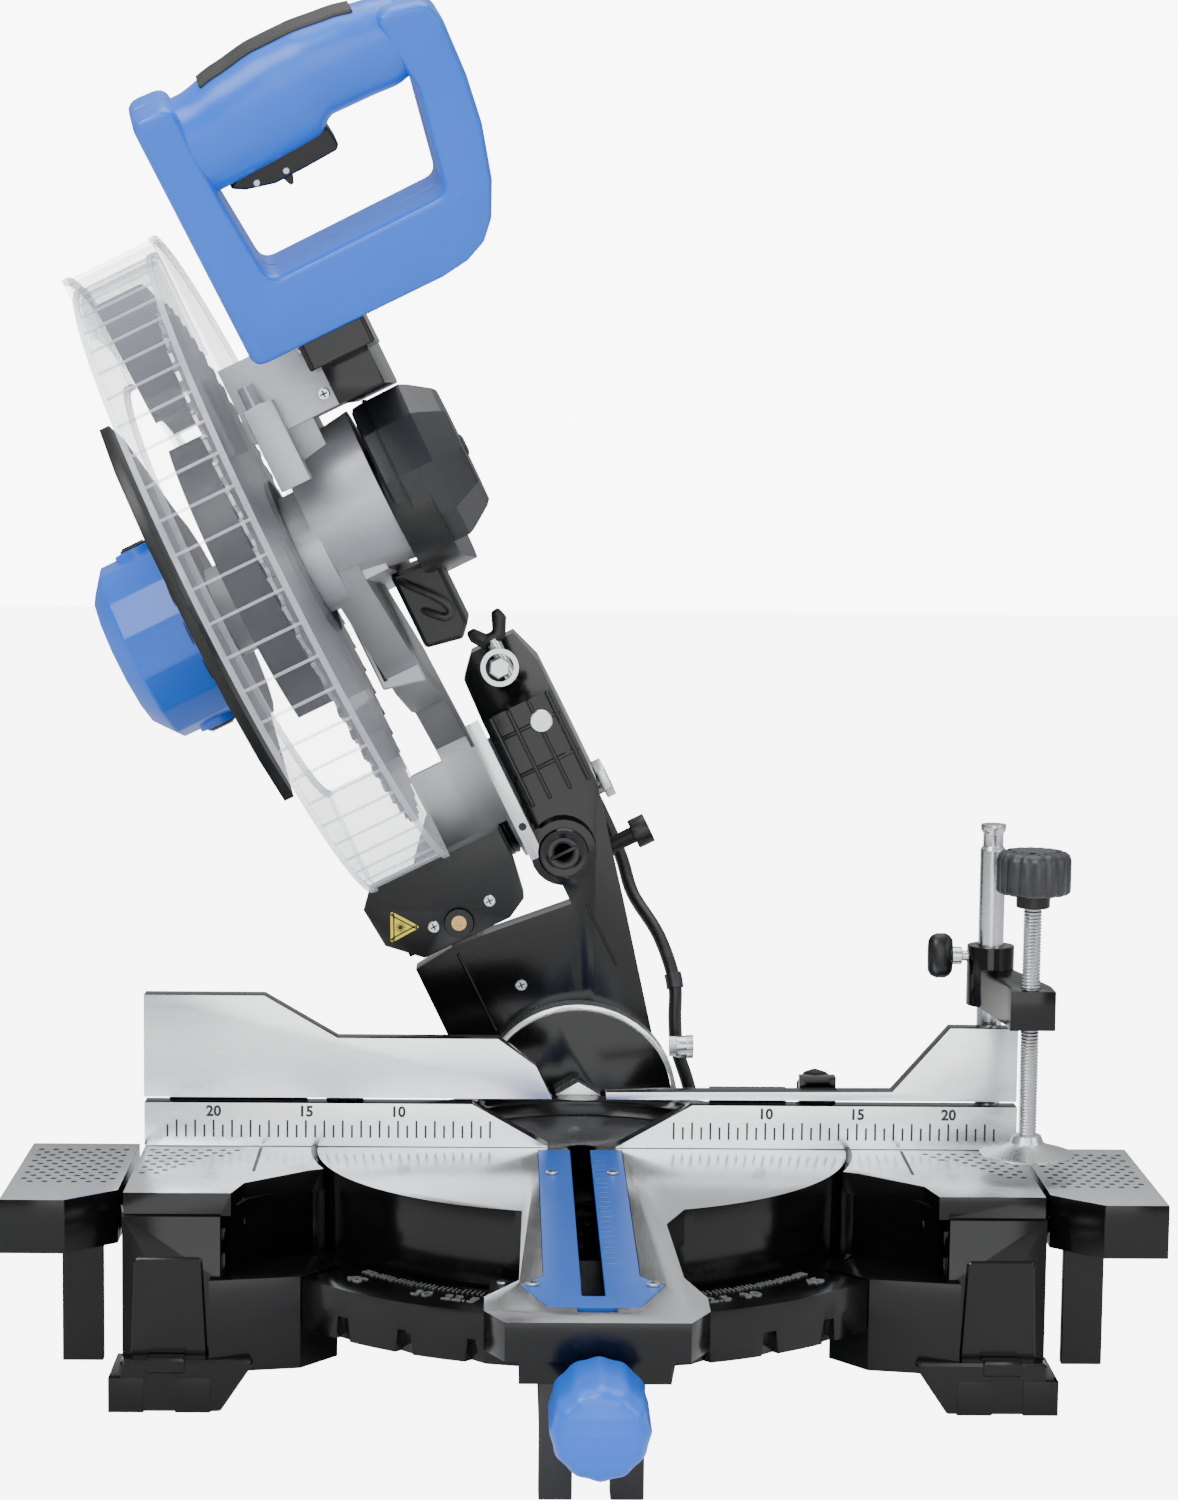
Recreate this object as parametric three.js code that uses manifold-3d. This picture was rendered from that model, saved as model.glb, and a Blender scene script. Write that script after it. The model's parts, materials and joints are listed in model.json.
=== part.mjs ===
// Compound mitre saw: 305 mm blade, head raised, bevelled to the left.
// Millimetres, +Z up. Inside the model the table's top is z = 0, the fence's front face is y = 0,
// the kerf runs along y at x = 0, and the front of the saw faces -Y.
import * as THREE from 'three';
import Module from 'manifold-3d';
import { mergeVertices } from 'three/addons/utils/BufferGeometryUtils.js';

const wasm = await Module();
wasm.setup();

// Driving dimensions.
const GAP = 0.3;                      // clearance between touching pieces
const TABLE_HEIGHT = 110;             // table top above the bench
const BEVEL = THREE.MathUtils.degToRad(26.5);
const BLADE_RADIUS = 152.5;
const BLADE_THICKNESS = 2.6;
const TABLE_RADIUS = 143.5;           // round part of the turntable
const SCALE_RADIUS = 184;             // outer radius of the mitre scale ring
const BASE_HALF = 237;                // half width of the base casting
const BASE_REAR = 45;
const RING_TOP = -42;
const RING_BOTTOM = -68;
const FLOOR_TOP = -44;                // top of the base's round floor
const FENCE_THICKNESS = 12;
const FENCE_TOP = 24;                 // fixed fence
const SLIDE_BOTTOM = 27;              // upper fences
const WING_INNER = 240.3;
const WING_OUTER = 298;
const WING_THICKNESS = 28;
const RAIL_RADIUS = 4;
const RAIL_Z = -20;
const RAIL_YS = [-30, -84];
const TRUNNION = { radius: 55, front: 112, rear: 130 };
const ARM_FRONT = TRUNNION.rear + GAP;
const ARM_REAR = 152;
const LOCK_Z = -33;                   // axis of the mitre lock knob
const POST = { x: 224, y: 22, radius: 7 };
const SCREW = { x: 236, y: -45, radius: 5 };
const ARBOR = { y: -10, z: 355 };     // head raised, saw upright
const PIVOT = { y: 190, z: 155 };     // chop axis
const MOTOR = { y: 205, z: 341 };     // armature axis
const CAP = { y: -5, z: 371 };        // grey end cap's axis
const GUARD = { outer: 175, left: -36, right: 9 };
const HANDLE = { y: -150, z: 455, lean: THREE.MathUtils.degToRad(22), half: 20 };
const LEAD_DIAMETER = 8;
const COIL = { x: -120, y: 150, inner: 33, outer: 57, height: 16 };
const PLUG = { left: -33.7, right: 12, y: 86, z: -99 };

// Materials.
const paint = (colour, roughness, metalness) =>
  new THREE.MeshStandardMaterial({ color: colour, roughness, metalness });
const BLACK_PAINT = paint(0x101012, 0.25, 0.3);
const MACHINED = paint(0xc9ccd0, 0.3, 0.9);
const CAST = paint(0xb5b7ba, 0.45, 0.8);
const STEEL = paint(0xb0b3b6, 0.3, 1);
const DARK_STEEL = paint(0x4a4c50, 0.4, 0.9);
const BLUE = paint(0x1c6fd4, 0.4, 0);
const BLACK_PLASTIC = paint(0x17171a, 0.45, 0);
const GREY_PLASTIC = paint(0x35363c, 0.5, 0);
const RUBBER = paint(0x242428, 0.8, 0);
const CLEAR = paint(0xdfe6ea, 0.1, 0);
const BRASS = paint(0xb08a45, 0.35, 0.9);
const COPPER = paint(0xa5603a, 0.5, 0.8);

// A closed geometry as a solid, turned right way out.
function solidOf(geometry) {
  geometry.deleteAttribute('normal');
  geometry.deleteAttribute('uv');
  const merged = mergeVertices(geometry, 1e-4);
  const points = merged.attributes.position;
  const triangles = Uint32Array.from(merged.index.array);
  const corner = (i) => new THREE.Vector3().fromBufferAttribute(points, triangles[i]);
  let volume = 0;
  for (let i = 0; i < triangles.length; i += 3) {
    volume += corner(i).dot(corner(i + 1).cross(corner(i + 2)));
  }
  if (volume < 0) triangles.reverse();
  return new wasm.Manifold(new wasm.Mesh({
    numProp: 3, vertProperties: new Float32Array(points.array), triVerts: triangles,
  }));
}

const join = (first, ...others) => others.reduce((sum, other) => sum.add(other), first);
const cut = (first, ...others) => others.reduce((rest, other) => rest.subtract(other), first);

// Turns a geometry built along an axis of its own onto the named axis.
function aim(geometry, axis, along) {
  if (along === 'y') {
    if (axis === 'z') geometry.rotateX(Math.PI / 2);
    if (axis === 'x') geometry.rotateZ(-Math.PI / 2);
  }
  if (along === 'z') {
    if (axis === 'y') geometry.rotateX(Math.PI / 2);
    if (axis === 'x') geometry.rotateX(Math.PI / 2).rotateZ(Math.PI / 2);
  }
  return geometry;
}

function offset(geometry, axis, a, b, along) {
  if (axis === 'x') geometry.translate(along, a, b);
  if (axis === 'y') geometry.translate(a, along, b);
  if (axis === 'z') geometry.translate(a, b, along);
  return geometry;
}

function block(x0, x1, y0, y1, z0, z1) {
  const geometry = new THREE.BoxGeometry(Math.abs(x1 - x0), y1 - y0, z1 - z0);
  return solidOf(geometry.translate((x0 + x1) / 2, (y0 + y1) / 2, (z0 + z1) / 2));
}

// A round bar along an axis, centred on (a, b) in the other two, tapered if two radii are given.
function rod(axis, a, b, from, to, radius, endRadius = radius, sides = 24) {
  const geometry = new THREE.CylinderGeometry(endRadius, radius, to - from, sides);
  return solidOf(offset(aim(geometry, axis, 'y'), axis, a, b, (from + to) / 2));
}

// A profile of [radius, along] points turned about an axis through (a, b).
function turned(axis, a, b, profile, sides = 32) {
  const points = profile.map(([radius, along]) => new THREE.Vector2(radius, along));
  const last = points[points.length - 1];
  if (points[0].x > 0 || last.x > 0) points.push(points[0].clone());
  return solidOf(offset(aim(new THREE.LatheGeometry(points, sides), axis, 'y'), axis, a, b, 0));
}

const ringProfile = (inner, outer, from, to) => [[inner, from], [outer, from], [outer, to], [inner, to]];

// An outline of [a, b] points swept along an axis: (x, y) for z, (x, z) for y, (y, z) for x.
function prism(axis, outline, from, to) {
  const shape = outline.isShape ? outline : new THREE.Shape(outline.map(([a, b]) => new THREE.Vector2(a, b)));
  const geometry = new THREE.ExtrudeGeometry(shape, { depth: to - from, bevelEnabled: false, curveSegments: 8 });
  const start = axis === 'y' ? to : from;
  return solidOf(offset(aim(geometry, axis, 'z'), axis, 0, 0, start));
}

const polar = (radius, degrees) => {
  const angle = THREE.MathUtils.degToRad(degrees);
  return [radius * Math.cos(angle), radius * Math.sin(angle)];
};

function arc(radius, fromDegrees, toDegrees, steps, a = 0, b = 0) {
  return Array.from({ length: steps + 1 }, (_, i) => {
    const [x, y] = polar(radius, fromDegrees + (toDegrees - fromDegrees) * i / steps);
    return [x + a, y + b];
  });
}

const sectorOutline = (inner, outer, from, to, steps, a = 0, b = 0) =>
  [...arc(outer, from, to, steps, a, b), ...arc(inner, to, from, steps, a, b)];

const mirrored = (outline) => outline.map(([x, y]) => [-x, y]);

// A tube along a smooth curve through the points.
function tube(points, radius, sides, steps) {
  const section = new THREE.Shape(arc(radius, 0, 360 - 360 / sides, sides - 1).map(([a, b]) =>
    new THREE.Vector2(a, b)));
  const path = new THREE.CatmullRomCurve3(points.map((p) => new THREE.Vector3(...p)));
  return solidOf(new THREE.ExtrudeGeometry(section, { extrudePath: path, steps, bevelEnabled: false }));
}

const saw = new THREE.Group();
const tilting = new THREE.Group();    // everything carried by the bevel arm
const handleFrame = new THREE.Group();
const mains = new THREE.Group();
tilting.rotation.y = -BEVEL;
handleFrame.position.set(0, HANDLE.y, HANDLE.z);
handleFrame.rotation.x = HANDLE.lean;
tilting.add(handleFrame);
saw.add(tilting);

function place(name, solid, material, parent = saw) {
  const mesh = solid.getMesh();
  const geometry = new THREE.BufferGeometry();
  geometry.setAttribute('position', new THREE.Float32BufferAttribute(mesh.vertProperties, 3));
  geometry.setIndex(Array.from(mesh.triVerts));
  const node = new THREE.Mesh(geometry, material);
  node.name = name;
  parent.add(node);
}

// The right-hand half of the base: table slab, skirts, legs and foot. side is 1 or -1.
function baseSide(side) {
  const s = (a, b) => (side > 0 ? [a, b] : [-b, -a]);
  const bar = (x0, x1, ...rest) => block(...s(x0, x1), ...rest);
  const turn = (outline) => (side > 0 ? outline : mirrored(outline));
  const table = prism('z', turn([
    [BASE_HALF, BASE_REAR], [BASE_HALF, -106], [182, -106], [177, -84], [145, -55],
    ...arc(147, -20.5, 17.8, 8),
  ]), -12, 0);
  const skirt = prism('z', turn(sectorOutline(146.6, 153, -21, 12.5, 6)), -62, -11);
  const web = prism('z', turn([[128, -90], [146, -112], [192, -121], [192, -66], [150, -56]]), -90, RING_TOP);
  const solid = join(
    table, skirt, web,
    bar(231, BASE_HALF, -106, BASE_REAR, -60, -11),
    bar(187, BASE_HALF, -112, -62, -TABLE_HEIGHT, -11),
    bar(191, 243, -124, -80, -TABLE_HEIGHT, -92),
    bar(187, BASE_HALF, 0, BASE_REAR, -TABLE_HEIGHT, -11),
    bar(140, 232, 8, 40, -62, -50),
  );
  const cuts = [
    bar(193, 231, -106, -68, -TABLE_HEIGHT - 1, -16),
    bar(193, 231, 6, BASE_REAR - 6, -TABLE_HEIGHT - 1, -16),
    bar(209, 225, -125, -113, -TABLE_HEIGHT - 1, -91),
    rod('z', side * POST.x, POST.y, -20, 1, POST.radius + GAP),
    ...RAIL_YS.map((y) => rod('x', y, RAIL_Z, ...s(150, 240), RAIL_RADIUS + GAP, RAIL_RADIUS + GAP, 16)),
  ];
  return cut(solid, ...cuts);
}

function makeBase() {
  const disc = rod('z', 0, 0, -62, FLOOR_TOP, 126, 126, 48);
  const apron = cut(rod('z', 0, 0, -62, FLOOR_TOP, 153, 153, 60), block(-160, 160, BASE_REAR, 160, -70, 0));
  const ring = prism('z', sectorOutline(148, SCALE_RADIUS, -142, -38, 32), RING_BOTTOM, RING_TOP);
  const windows = Array.from({ length: 6 }, (_, i) =>
    rod('z', ...polar(82, 30 + 60 * i), -63, FLOOR_TOP + 1, 24, 24, 16));
  const notches = Array.from({ length: 8 }, (_, i) => {
    const [x, y] = polar(SCALE_RADIUS + 2, -132 + 12 * i);
    return rod('z', x, y, RING_BOTTOM - 1, RING_BOTTOM + 12, 7, 5, 4);
  });
  const pivotHole = rod('z', 0, 0, -63, FLOOR_TOP + 1, 9);
  place('base_casting', cut(join(disc, apron, ring, baseSide(1), baseSide(-1)), ...windows, ...notches, pivotHole),
    BLACK_PAINT);

  const leg = (x) => block(x - 8, x + 8, -257, -241, -TABLE_HEIGHT, -44);
  const foot = join(leg(-17), leg(17), block(-25, -9, -242, -165, -80, RING_BOTTOM - GAP),
    block(9, 25, -242, -165, -80, RING_BOTTOM - GAP), block(-10, 10, -183, -165, -80, RING_BOTTOM - GAP));
  place('front_support_foot', foot, GREY_PLASTIC);
}

function makeFences() {
  const fixed = (side) => join(
    prism('y', [[BASE_HALF + 0.5, GAP], [BASE_HALF + 0.5, FENCE_TOP], [60, FENCE_TOP], [18, GAP]]
      .map(([x, z]) => [side * x, z]), 0, FENCE_THICKNESS),
    block(...(side > 0 ? [108, 212] : [-212, -108]), FENCE_THICKNESS - 1, 34, GAP, 8),
    cut(block(...(side > 0 ? [120, 140] : [-140, -120]), 19, 28, 7, 36), rod('y', side * 130, 27, 18, 29, 3 + GAP, 3 + GAP, 12)),
  );
  const bridge = prism('z', sectorOutline(82, 99, 8, 172, 24), GAP, 8);
  const link = (side) => block(...(side > 0 ? [84, 112] : [-112, -84]), FENCE_THICKNESS - 1, 24, GAP, 8);
  place('fixed_fence', join(fixed(1), fixed(-1), bridge, link(1), link(-1)), BLACK_PAINT);

  const left = join(
    prism('y', [[-237.7, SLIDE_BOTTOM], [-237.7, 83], [-172.7, 83], [-133, 60], [-46, 60], [-25.3, 45.1],
      [-16.4, SLIDE_BOTTOM]], 0, FENCE_THICKNESS),
    block(-225, -150, 6, 18, SLIDE_BOTTOM, 40), block(-225, -150, FENCE_THICKNESS + GAP, 18, 10, 30),
  );
  place('left_upper_fence', left, BLACK_PAINT);
  const right = join(
    prism('y', [[13, SLIDE_BOTTOM], [13, 31], [169, 32], [200, 67.5], [237, 67.3], [237, SLIDE_BOTTOM]],
      0, FENCE_THICKNESS),
    block(70, 112, FENCE_THICKNESS + GAP, 18, 10, 31), block(70, 112, 8, 18, SLIDE_BOTTOM, 31),
  );
  place('right_upper_fence', right, BLACK_PAINT);
  for (const side of [-1, 1]) {
    place(side > 0 ? 'right_fence_lock' : 'left_fence_lock', join(
      rod('y', side * 130, 27, 18.6, 36, 3, 3, 12), rod('y', side * 130, 27, 34, 44, 11, 9, 10),
    ), BLACK_PLASTIC);
  }
}

function makeWing(side, name) {
  const outline = [[WING_INNER, 5], [WING_OUTER, 5], [WING_OUTER, -122], [265, -122], [WING_INNER, -100]];
  const x = (a, b) => (side > 0 ? [a, b] : [-b, -a]);
  const plate = prism('z', side > 0 ? outline : mirrored(outline), -WING_THICKNESS, 0);
  const hollow = block(...x(WING_INNER + 10, WING_OUTER - 5), -95, -5, -WING_THICKNESS - 1, -8);
  const bracket = block(...x(248, 269), -100, -94, -90, -WING_THICKNESS + 1);
  const rails = RAIL_YS.map((y) => rod('x', y, RAIL_Z, ...x(176, WING_INNER + 2), RAIL_RADIUS, RAIL_RADIUS, 16));
  place(`${name}_wing`, join(cut(plate, hollow), bracket, ...rails), BLACK_PAINT);
  place(`${name}_work_stop`, block(...x(276, 296), 5 + GAP, 9, -26, -2), GREY_PLASTIC);
}

function makeTurntable() {
  const plate = rod('z', 0, 0, -10, 0, TABLE_RADIUS, TABLE_RADIUS, 96);
  const wall = turned('z', 0, 0, ringProfile(137, TABLE_RADIUS, FLOOR_TOP + GAP, -9), 96);
  const hub = rod('z', 0, 0, FLOOR_TOP + GAP, -9, 24, 24, 24);
  const neck = prism('z', [[-32, -132], [-35, -270], [-35, -302], [35, -302], [40, -255], [38.5, -165], [38, -132]],
    -40, -9);
  const top = prism('z', [[-33, -132], [-35, -270], [-51, -299], [-51, -322], [-41.5, -341], [41.5, -341],
    [51, -322], [51, -299], [42, -265], [38.5, -165], [50, -132]], -18, 0);
  const trunnion = prism('y', [...arc(TRUNNION.radius, 0, 180, 24), [-50, -40], [50, -40]],
    TRUNNION.front, TRUNNION.rear);
  const shelf = block(61, 76, 100, 176, -40, -14);
  const seat = prism('z', [[-24, -4], [21.8, -4], [21.8, -262], [33, -278], [20, -316], [-22, -316], [-35, -278],
    [-24, -262]], -3, 1);
  const channel = prism('y', [[-9, -2], [9, -2], [42, -36], [-9, -36]], -190, 24);
  const solid = cut(join(plate, wall, hub, neck, top, trunnion, shelf),
    block(-150, 60.9, TRUNNION.rear, 150, -50, 1), seat, channel,
    block(-9, 9, -324, -189, -12, 1),
    block(-16.5, 16.5, 96, TRUNNION.front, -16.5, 1),
    rod('y', 0, 0, 90, 140, 10), rod('z', 0, 0, -50, 1, 8.3, 8.3, 16),
    rod('y', 0, LOCK_Z, -345, -195, 5 + GAP, 5 + GAP, 16));
  place('turntable', solid, BLACK_PAINT);
  place('table_pivot_bolt', join(rod('z', 0, 0, -66, -36.5, 8, 8, 16), rod('z', 0, 0, -70, -62 - GAP, 15, 15, 6)), STEEL);

  const insert = prism('z', [[-23.7, -4.3], [21.5, -4.3], [21.5, -262], [32.6, -278], [19.7, -315.7], [-21.7, -315.7],
    [-34.6, -278], [-23.7, -262]], -3 + GAP, 0);
  place('kerf_insert', cut(insert, block(-6.5, 4.5, -297, 0, -4, 1)), BLUE);

  const scale = prism('y', sectorOutline(TRUNNION.radius + GAP, 58, 4, 176, 24), TRUNNION.front + 1, TRUNNION.rear);
  place('bevel_scale', scale, MACHINED);
  place('mitre_lock_knob', join(
    turned('y', 0, LOCK_Z, [[0, -402], [17.5, -402], [22.4, -396], [22.4, -352], [18, -345.3], [0, -345.3]], 24),
    rod('y', 0, LOCK_Z, -346, -196, 5, 5, 16),
  ), BLUE);
}

function makeClamp() {
  place('clamp_post', turned('z', POST.x, POST.y, [[0, -60], [POST.radius, -60], [POST.radius, 163], [5.6, 165],
    [5.6, 172], [POST.radius, 174], [POST.radius, 177], [0, 177]], 20), STEEL);
  const dx = SCREW.x - POST.x;
  const dy = SCREW.y - POST.y;
  const bar = prism('z', [[POST.x - 9, POST.y + 3], [SCREW.x - 12, SCREW.y + 5], [SCREW.x - 12, SCREW.y - 10],
    [SCREW.x + 12, SCREW.y - 10], [SCREW.x + 12, SCREW.y + 8], [POST.x + 9 + dx * 0.1, POST.y + dy * 0.05]], 77, 98);
  const arm = cut(join(bar, rod('z', POST.x, POST.y, 77, 110, 13)),
    rod('z', POST.x, POST.y, 70, 120, POST.radius + GAP), rod('z', SCREW.x, SCREW.y, 70, 120, SCREW.radius + GAP),
    rod('x', POST.y, 104, 205, 220, 3 + GAP, 3 + GAP, 12));
  place('clamp_arm', arm, BLACK_PAINT);
  place('clamp_thumb_screw', join(rod('x', POST.y, 104, 203, 216.6, 3, 3, 12), rod('x', POST.y, 104, 191, 204, 11, 9, 8)),
    BLACK_PLASTIC);
  place('clamp_screw', turned('z', SCREW.x, SCREW.y, [[0, 8], [25, 8], [25, 10.5], [9, 14], [8, 20], [SCREW.radius, 20], [SCREW.radius, 142], [9, 142],
    [9, 148], [20, 149], [20, 170], [18, 172], [0, 172]], 20), DARK_STEEL);
}

function makeBevelArm() {
  const disc = rod('y', 0, 0, ARM_FRONT, ARM_REAR, 58, 58, 40);
  const plate = prism('y', [[-51.5, 40], [-51, 109], [-24, 112], [48, 104], [76, 104], [75, 92], [57, 12], [40, -30],
    [-45, -20]], ARM_FRONT, ARM_REAR);
  const left = prism('x', [[ARM_FRONT, 60], [ARM_FRONT, 168], [165, 186], [212, 178], [214, 140], [160, 55]], -26, -10);
  const right = prism('x', [[ARM_FRONT, 60], [ARM_FRONT, 222], [165, 258], [200, 258], [222, 200], [222, 130],
    [160, 55]], 47, 91);
  const boss = rod('y', 57, 136, 108, ARM_FRONT + 2, 19, 19, 24);
  const arm = cut(join(disc, plate, left, right, boss),
    rod('y', 0, 0, 120, 170, 10), rod('x', PIVOT.y, PIVOT.z, -40, 100, 8 + GAP, 8 + GAP, 20),
    rod('x', 165, 120, 58, 100, 5 + GAP, 5 + GAP, 12));
  place('bevel_arm', arm, BLACK_PAINT, tilting);

  place('bevel_pivot_bolt', join(rod('y', 0, 0, 106, ARM_REAR + 6, 9.7, 9.7, 20), rod('y', 0, 0, 102, 111.7, 15, 15, 6)),
    STEEL);
  place('bevel_lock_lever', join(rod('y', 0, 0, ARM_REAR + 7, 180, 15, 13, 20), block(-5, 5, 168, 176, 8, 52),
    rod('y', 0, 52, 165, 179, 8, 8, 12)), BLACK_PLASTIC, tilting);
  place('bevel_stop_bolt', join(rod('x', 141, 28.4, 54, 60, 6, 6, 6), rod('x', 141, 28.4, 58, 68, 6.5, 6.5, 16)), STEEL);
  place('chop_pin', join(rod('x', PIVOT.y, PIVOT.z, -28, 93, 8, 8, 20), rod('x', PIVOT.y, PIVOT.z, 91 + GAP, 97, 12, 12, 6)),
    STEEL, tilting);
  place('lift_spring', turned('x', PIVOT.y, PIVOT.z, ringProfile(10, 20, 14.5, 32.5), 24), DARK_STEEL, tilting);
  place('depth_stop', join(rod('z', 73, 138, 236, 264, 4, 4, 12), block(62, 84, 135, 141, 262, 272)), STEEL, tilting);
  place('transport_lock_pin', join(rod('x', 165, 120, 60, 98, 5, 5, 12), rod('x', 165, 120, 96, 106, 9, 9, 16)),
    DARK_STEEL, tilting);

  const box = prism('y', [[-40, 118], [14, 117.5], [26, 124], [30, 148], [30, 166], [-8, 166], [-52, 166], [-59, 158],
    [-57, 134]], 95, 124);
  const tab = block(-50, 10, 123, ARM_FRONT - GAP, 118, 135);
  const screwHole = rod('y', -13.4, 127.6, 90, 114, 8.5, 8.5, 20);
  place('laser_housing', cut(join(box, tab), screwHole), BLACK_PLASTIC, tilting);
  place('laser_lens', join(rod('y', -13.4, 127.6, 93, 112, 8.2, 8.2, 20)), BRASS, tilting);
  const route = [[-0.2, 231, 185.2], [14.5, 230, 156.7], [27, 218, 130], [34, 205, 109], [49, 186, 87], [58, 171, 61.8],
    [58.5, 168, 40], [60, 168, 22], [65.5, 168, 5], [68.5, 168, -6], [68.5, 168, -13.5]];
  place('arm_cable', tube(route, LEAD_DIAMETER / 2, 8, 36), RUBBER);
}

// The head casting: gear hub, arm to the chop pivot, top box and the tube that holds the motor.
function makeHead() {
  const hub = rod('x', CAP.y, CAP.z, 20, 62, 37, 43, 32);
  const boss = rod('x', ARBOR.y, ARBOR.z, 5, 22, 33, 33, 32);
  // The arm bends up and over, so that it clears the laser's housing when the head is down.
  const neck = prism('x', [[-31, 334], [11, 376], [96, 330], [178, 272], [207, 218], [212, 170], [190, 155], [168, 160],
    [163, 216], [146, 242], [118, 246], [70, 262]], 13.6, 33);
  const springBay = rod('x', PIVOT.y, PIVOT.z, 14, 32.6, 22, 22, 24);
  const prongs = [[-8, 14], [32.6, 44]].map(([from, to]) => join(
    rod('x', PIVOT.y, PIVOT.z, from, to, 22, 22, 24),
    prism('x', [[212, 158], [206, 205], [163, 208], [168, 156]], from, to)));
  const plate = prism('x', [[-20, 330], [190, 311], [222, 320], [228, 341], [215, 362], [190, 371], [-10, 410]], 20, 46);
  const strut = rod('x', MOTOR.y, MOTOR.z, -65.7, 46, 28, 28, 24);
  const casting = cut(
    join(hub, boss, cut(neck, springBay), ...prongs, plate, strut, block(14, 66, -60, 40, 418, 460),
      block(20, 46, -30, 30, 380, 420)),
    rod('x', ARBOR.y, ARBOR.z, 0, 70, 10, 10, 20),
    rod('x', MOTOR.y, MOTOR.z, -70, 50, 12, 12, 20),
    rod('x', PIVOT.y, PIVOT.z, -10, 50, 8 + GAP, 8 + GAP, 20),
  );
  place('head_casting', casting, CAST, tilting);

  const loop = (radius) => [
    ...arc(radius, -95, -275, 12, ARBOR.y, ARBOR.z), ...arc(radius, 85, -95, 12, MOTOR.y, MOTOR.z)];
  const cover = cut(prism('x', loop(36), 62 + GAP, 84), prism('x', loop(32), 61, 80),
    rod('x', ARBOR.y, ARBOR.z, 79, 90, 10, 10, 20));
  place('belt_cover', cover, BLACK_PLASTIC, tilting);
  const beltOutline = [...arc(25, 90, 270, 12, ARBOR.y, ARBOR.z), ...arc(13, -90, 90, 8, MOTOR.y, MOTOR.z)];
  const beltInner = [...arc(22.3, 90, 270, 12, ARBOR.y, ARBOR.z), ...arc(10.3, -90, 90, 8, MOTOR.y, MOTOR.z)];
  place('drive_belt', cut(prism('x', beltOutline, 66, 76), prism('x', beltInner, 65, 77)), RUBBER, tilting);

  const cap = turned('x', CAP.y, CAP.z, [[0, 110], [30, 110], [45, 98], [45, 84 + GAP], [36, 84 + GAP], [36, 104],
    [0, 104]], 12);
  place('end_cap', cap, GREY_PLASTIC, tilting);
  place('spindle_bearing', turned('x', ARBOR.y, ARBOR.z, ringProfile(8 + GAP, 16, 85, 95), 20), STEEL, tilting);

  place('guard_bracket', join(block(17.5, 34, -78, -60 - GAP, 390, 435), rod('z', 24, -69, 434, 447, 5, 5, 6)),
    CAST, tilting);
  place('guard_link', block(38.5, 46.5, 105.6, 108 - GAP, 140, 226), STEEL, tilting);
}

function makeGuards() {
  const shell = (outer, wallThickness, left, right, leftInner, rightInner) => turned('x', ARBOR.y, ARBOR.z, [
    [leftInner, left], [outer, left], [outer, right], [rightInner, right], [rightInner, right - wallThickness],
    [outer - wallThickness, right - wallThickness], [outer - wallThickness, left + wallThickness],
    [leftInner, left + wallThickness]], 72);
  // Angles run from the front over the top, about the arbor.
  const wedge = (from, to, inner = 0) => prism('x', [
    ...arc(200, 180 - from, 180 - to, 10, ARBOR.y, ARBOR.z), ...(inner ? arc(inner, 180 - to, 180 - from, 10, ARBOR.y,
      ARBOR.z) : [[ARBOR.y, ARBOR.z]])], -60, 30);
  const hubRing = turned('x', ARBOR.y, ARBOR.z, ringProfile(33 + GAP, 44, GUARD.right - 2.5, GUARD.right), 32);
  const lower = join(shell(GUARD.outer, 2.5, GUARD.left, GUARD.right, 118, 40).intersect(wedge(-82, 95)), hubRing);
  place('lower_guard', lower, CLEAR, tilting);
  const upper = shell(183, 2.5, -40, 13, 150, 60).intersect(wedge(84, 198));
  place('upper_guard', upper, CLEAR, tilting);
}

function makeDrive() {
  const half = BLADE_THICKNESS / 2;
  place('blade', cut(rod('x', ARBOR.y, ARBOR.z, -half, half, BLADE_RADIUS, BLADE_RADIUS, 72),
    rod('x', ARBOR.y, ARBOR.z, -5, 5, 12.7, 12.7, 24)), STEEL, tilting);
  place('arbor_bolt', join(rod('x', ARBOR.y, ARBOR.z, -15, -6, 10, 10, 6),
    turned('x', ARBOR.y, ARBOR.z, ringProfile(8.2, 28, -7, -half - GAP), 24)), DARK_STEEL, tilting);
  place('spindle', join(rod('x', ARBOR.y, ARBOR.z, -5.5, 96, 8, 8, 20), rod('x', ARBOR.y, ARBOR.z, 66, 76, 22, 22, 24)),
    STEEL, tilting);

  const housing = turned('x', MOTOR.y, MOTOR.z, [[0, -131], [42, -131], [56, -120], [56, -72 - GAP], [50.5, -72 - GAP],
    [50.5, -116], [40, -126], [0, -126]], 14);
  place('motor_housing', housing, BLUE, tilting);
  place('stator', turned('x', MOTOR.y, MOTOR.z, ringProfile(36, 48, -112, -80), 24), DARK_STEEL, tilting);
  place('armature', join(rod('x', MOTOR.y, MOTOR.z, -124, 78, 6, 6, 16), rod('x', MOTOR.y, MOTOR.z, -110, -82, 34, 34, 24),
    rod('x', MOTOR.y, MOTOR.z, 66, 76, 10, 10, 20)), COPPER, tilting);
  for (const [end, low, high] of [['upper', 397 + GAP, 402], ['lower', 280, 285 - GAP]]) {
    place(`brush_cap_${end}`, rod('z', -97, MOTOR.y, low, high, 9, 9, 16), BLACK_PLASTIC, tilting);
  }
  const outline = [[100, 233], [76, 262], [60, 300], [54, 345], [58, 400], [74, 440], [100, 466], [140, 456],
    ...arc(66, 75, -105, 10, MOTOR.y, MOTOR.z)];
  place('motor_plate', cut(prism('x', outline, -72, -66), rod('x', MOTOR.y, MOTOR.z, -73, -65, 12, 12, 20)),
    BLACK_PLASTIC, tilting);
}

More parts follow.
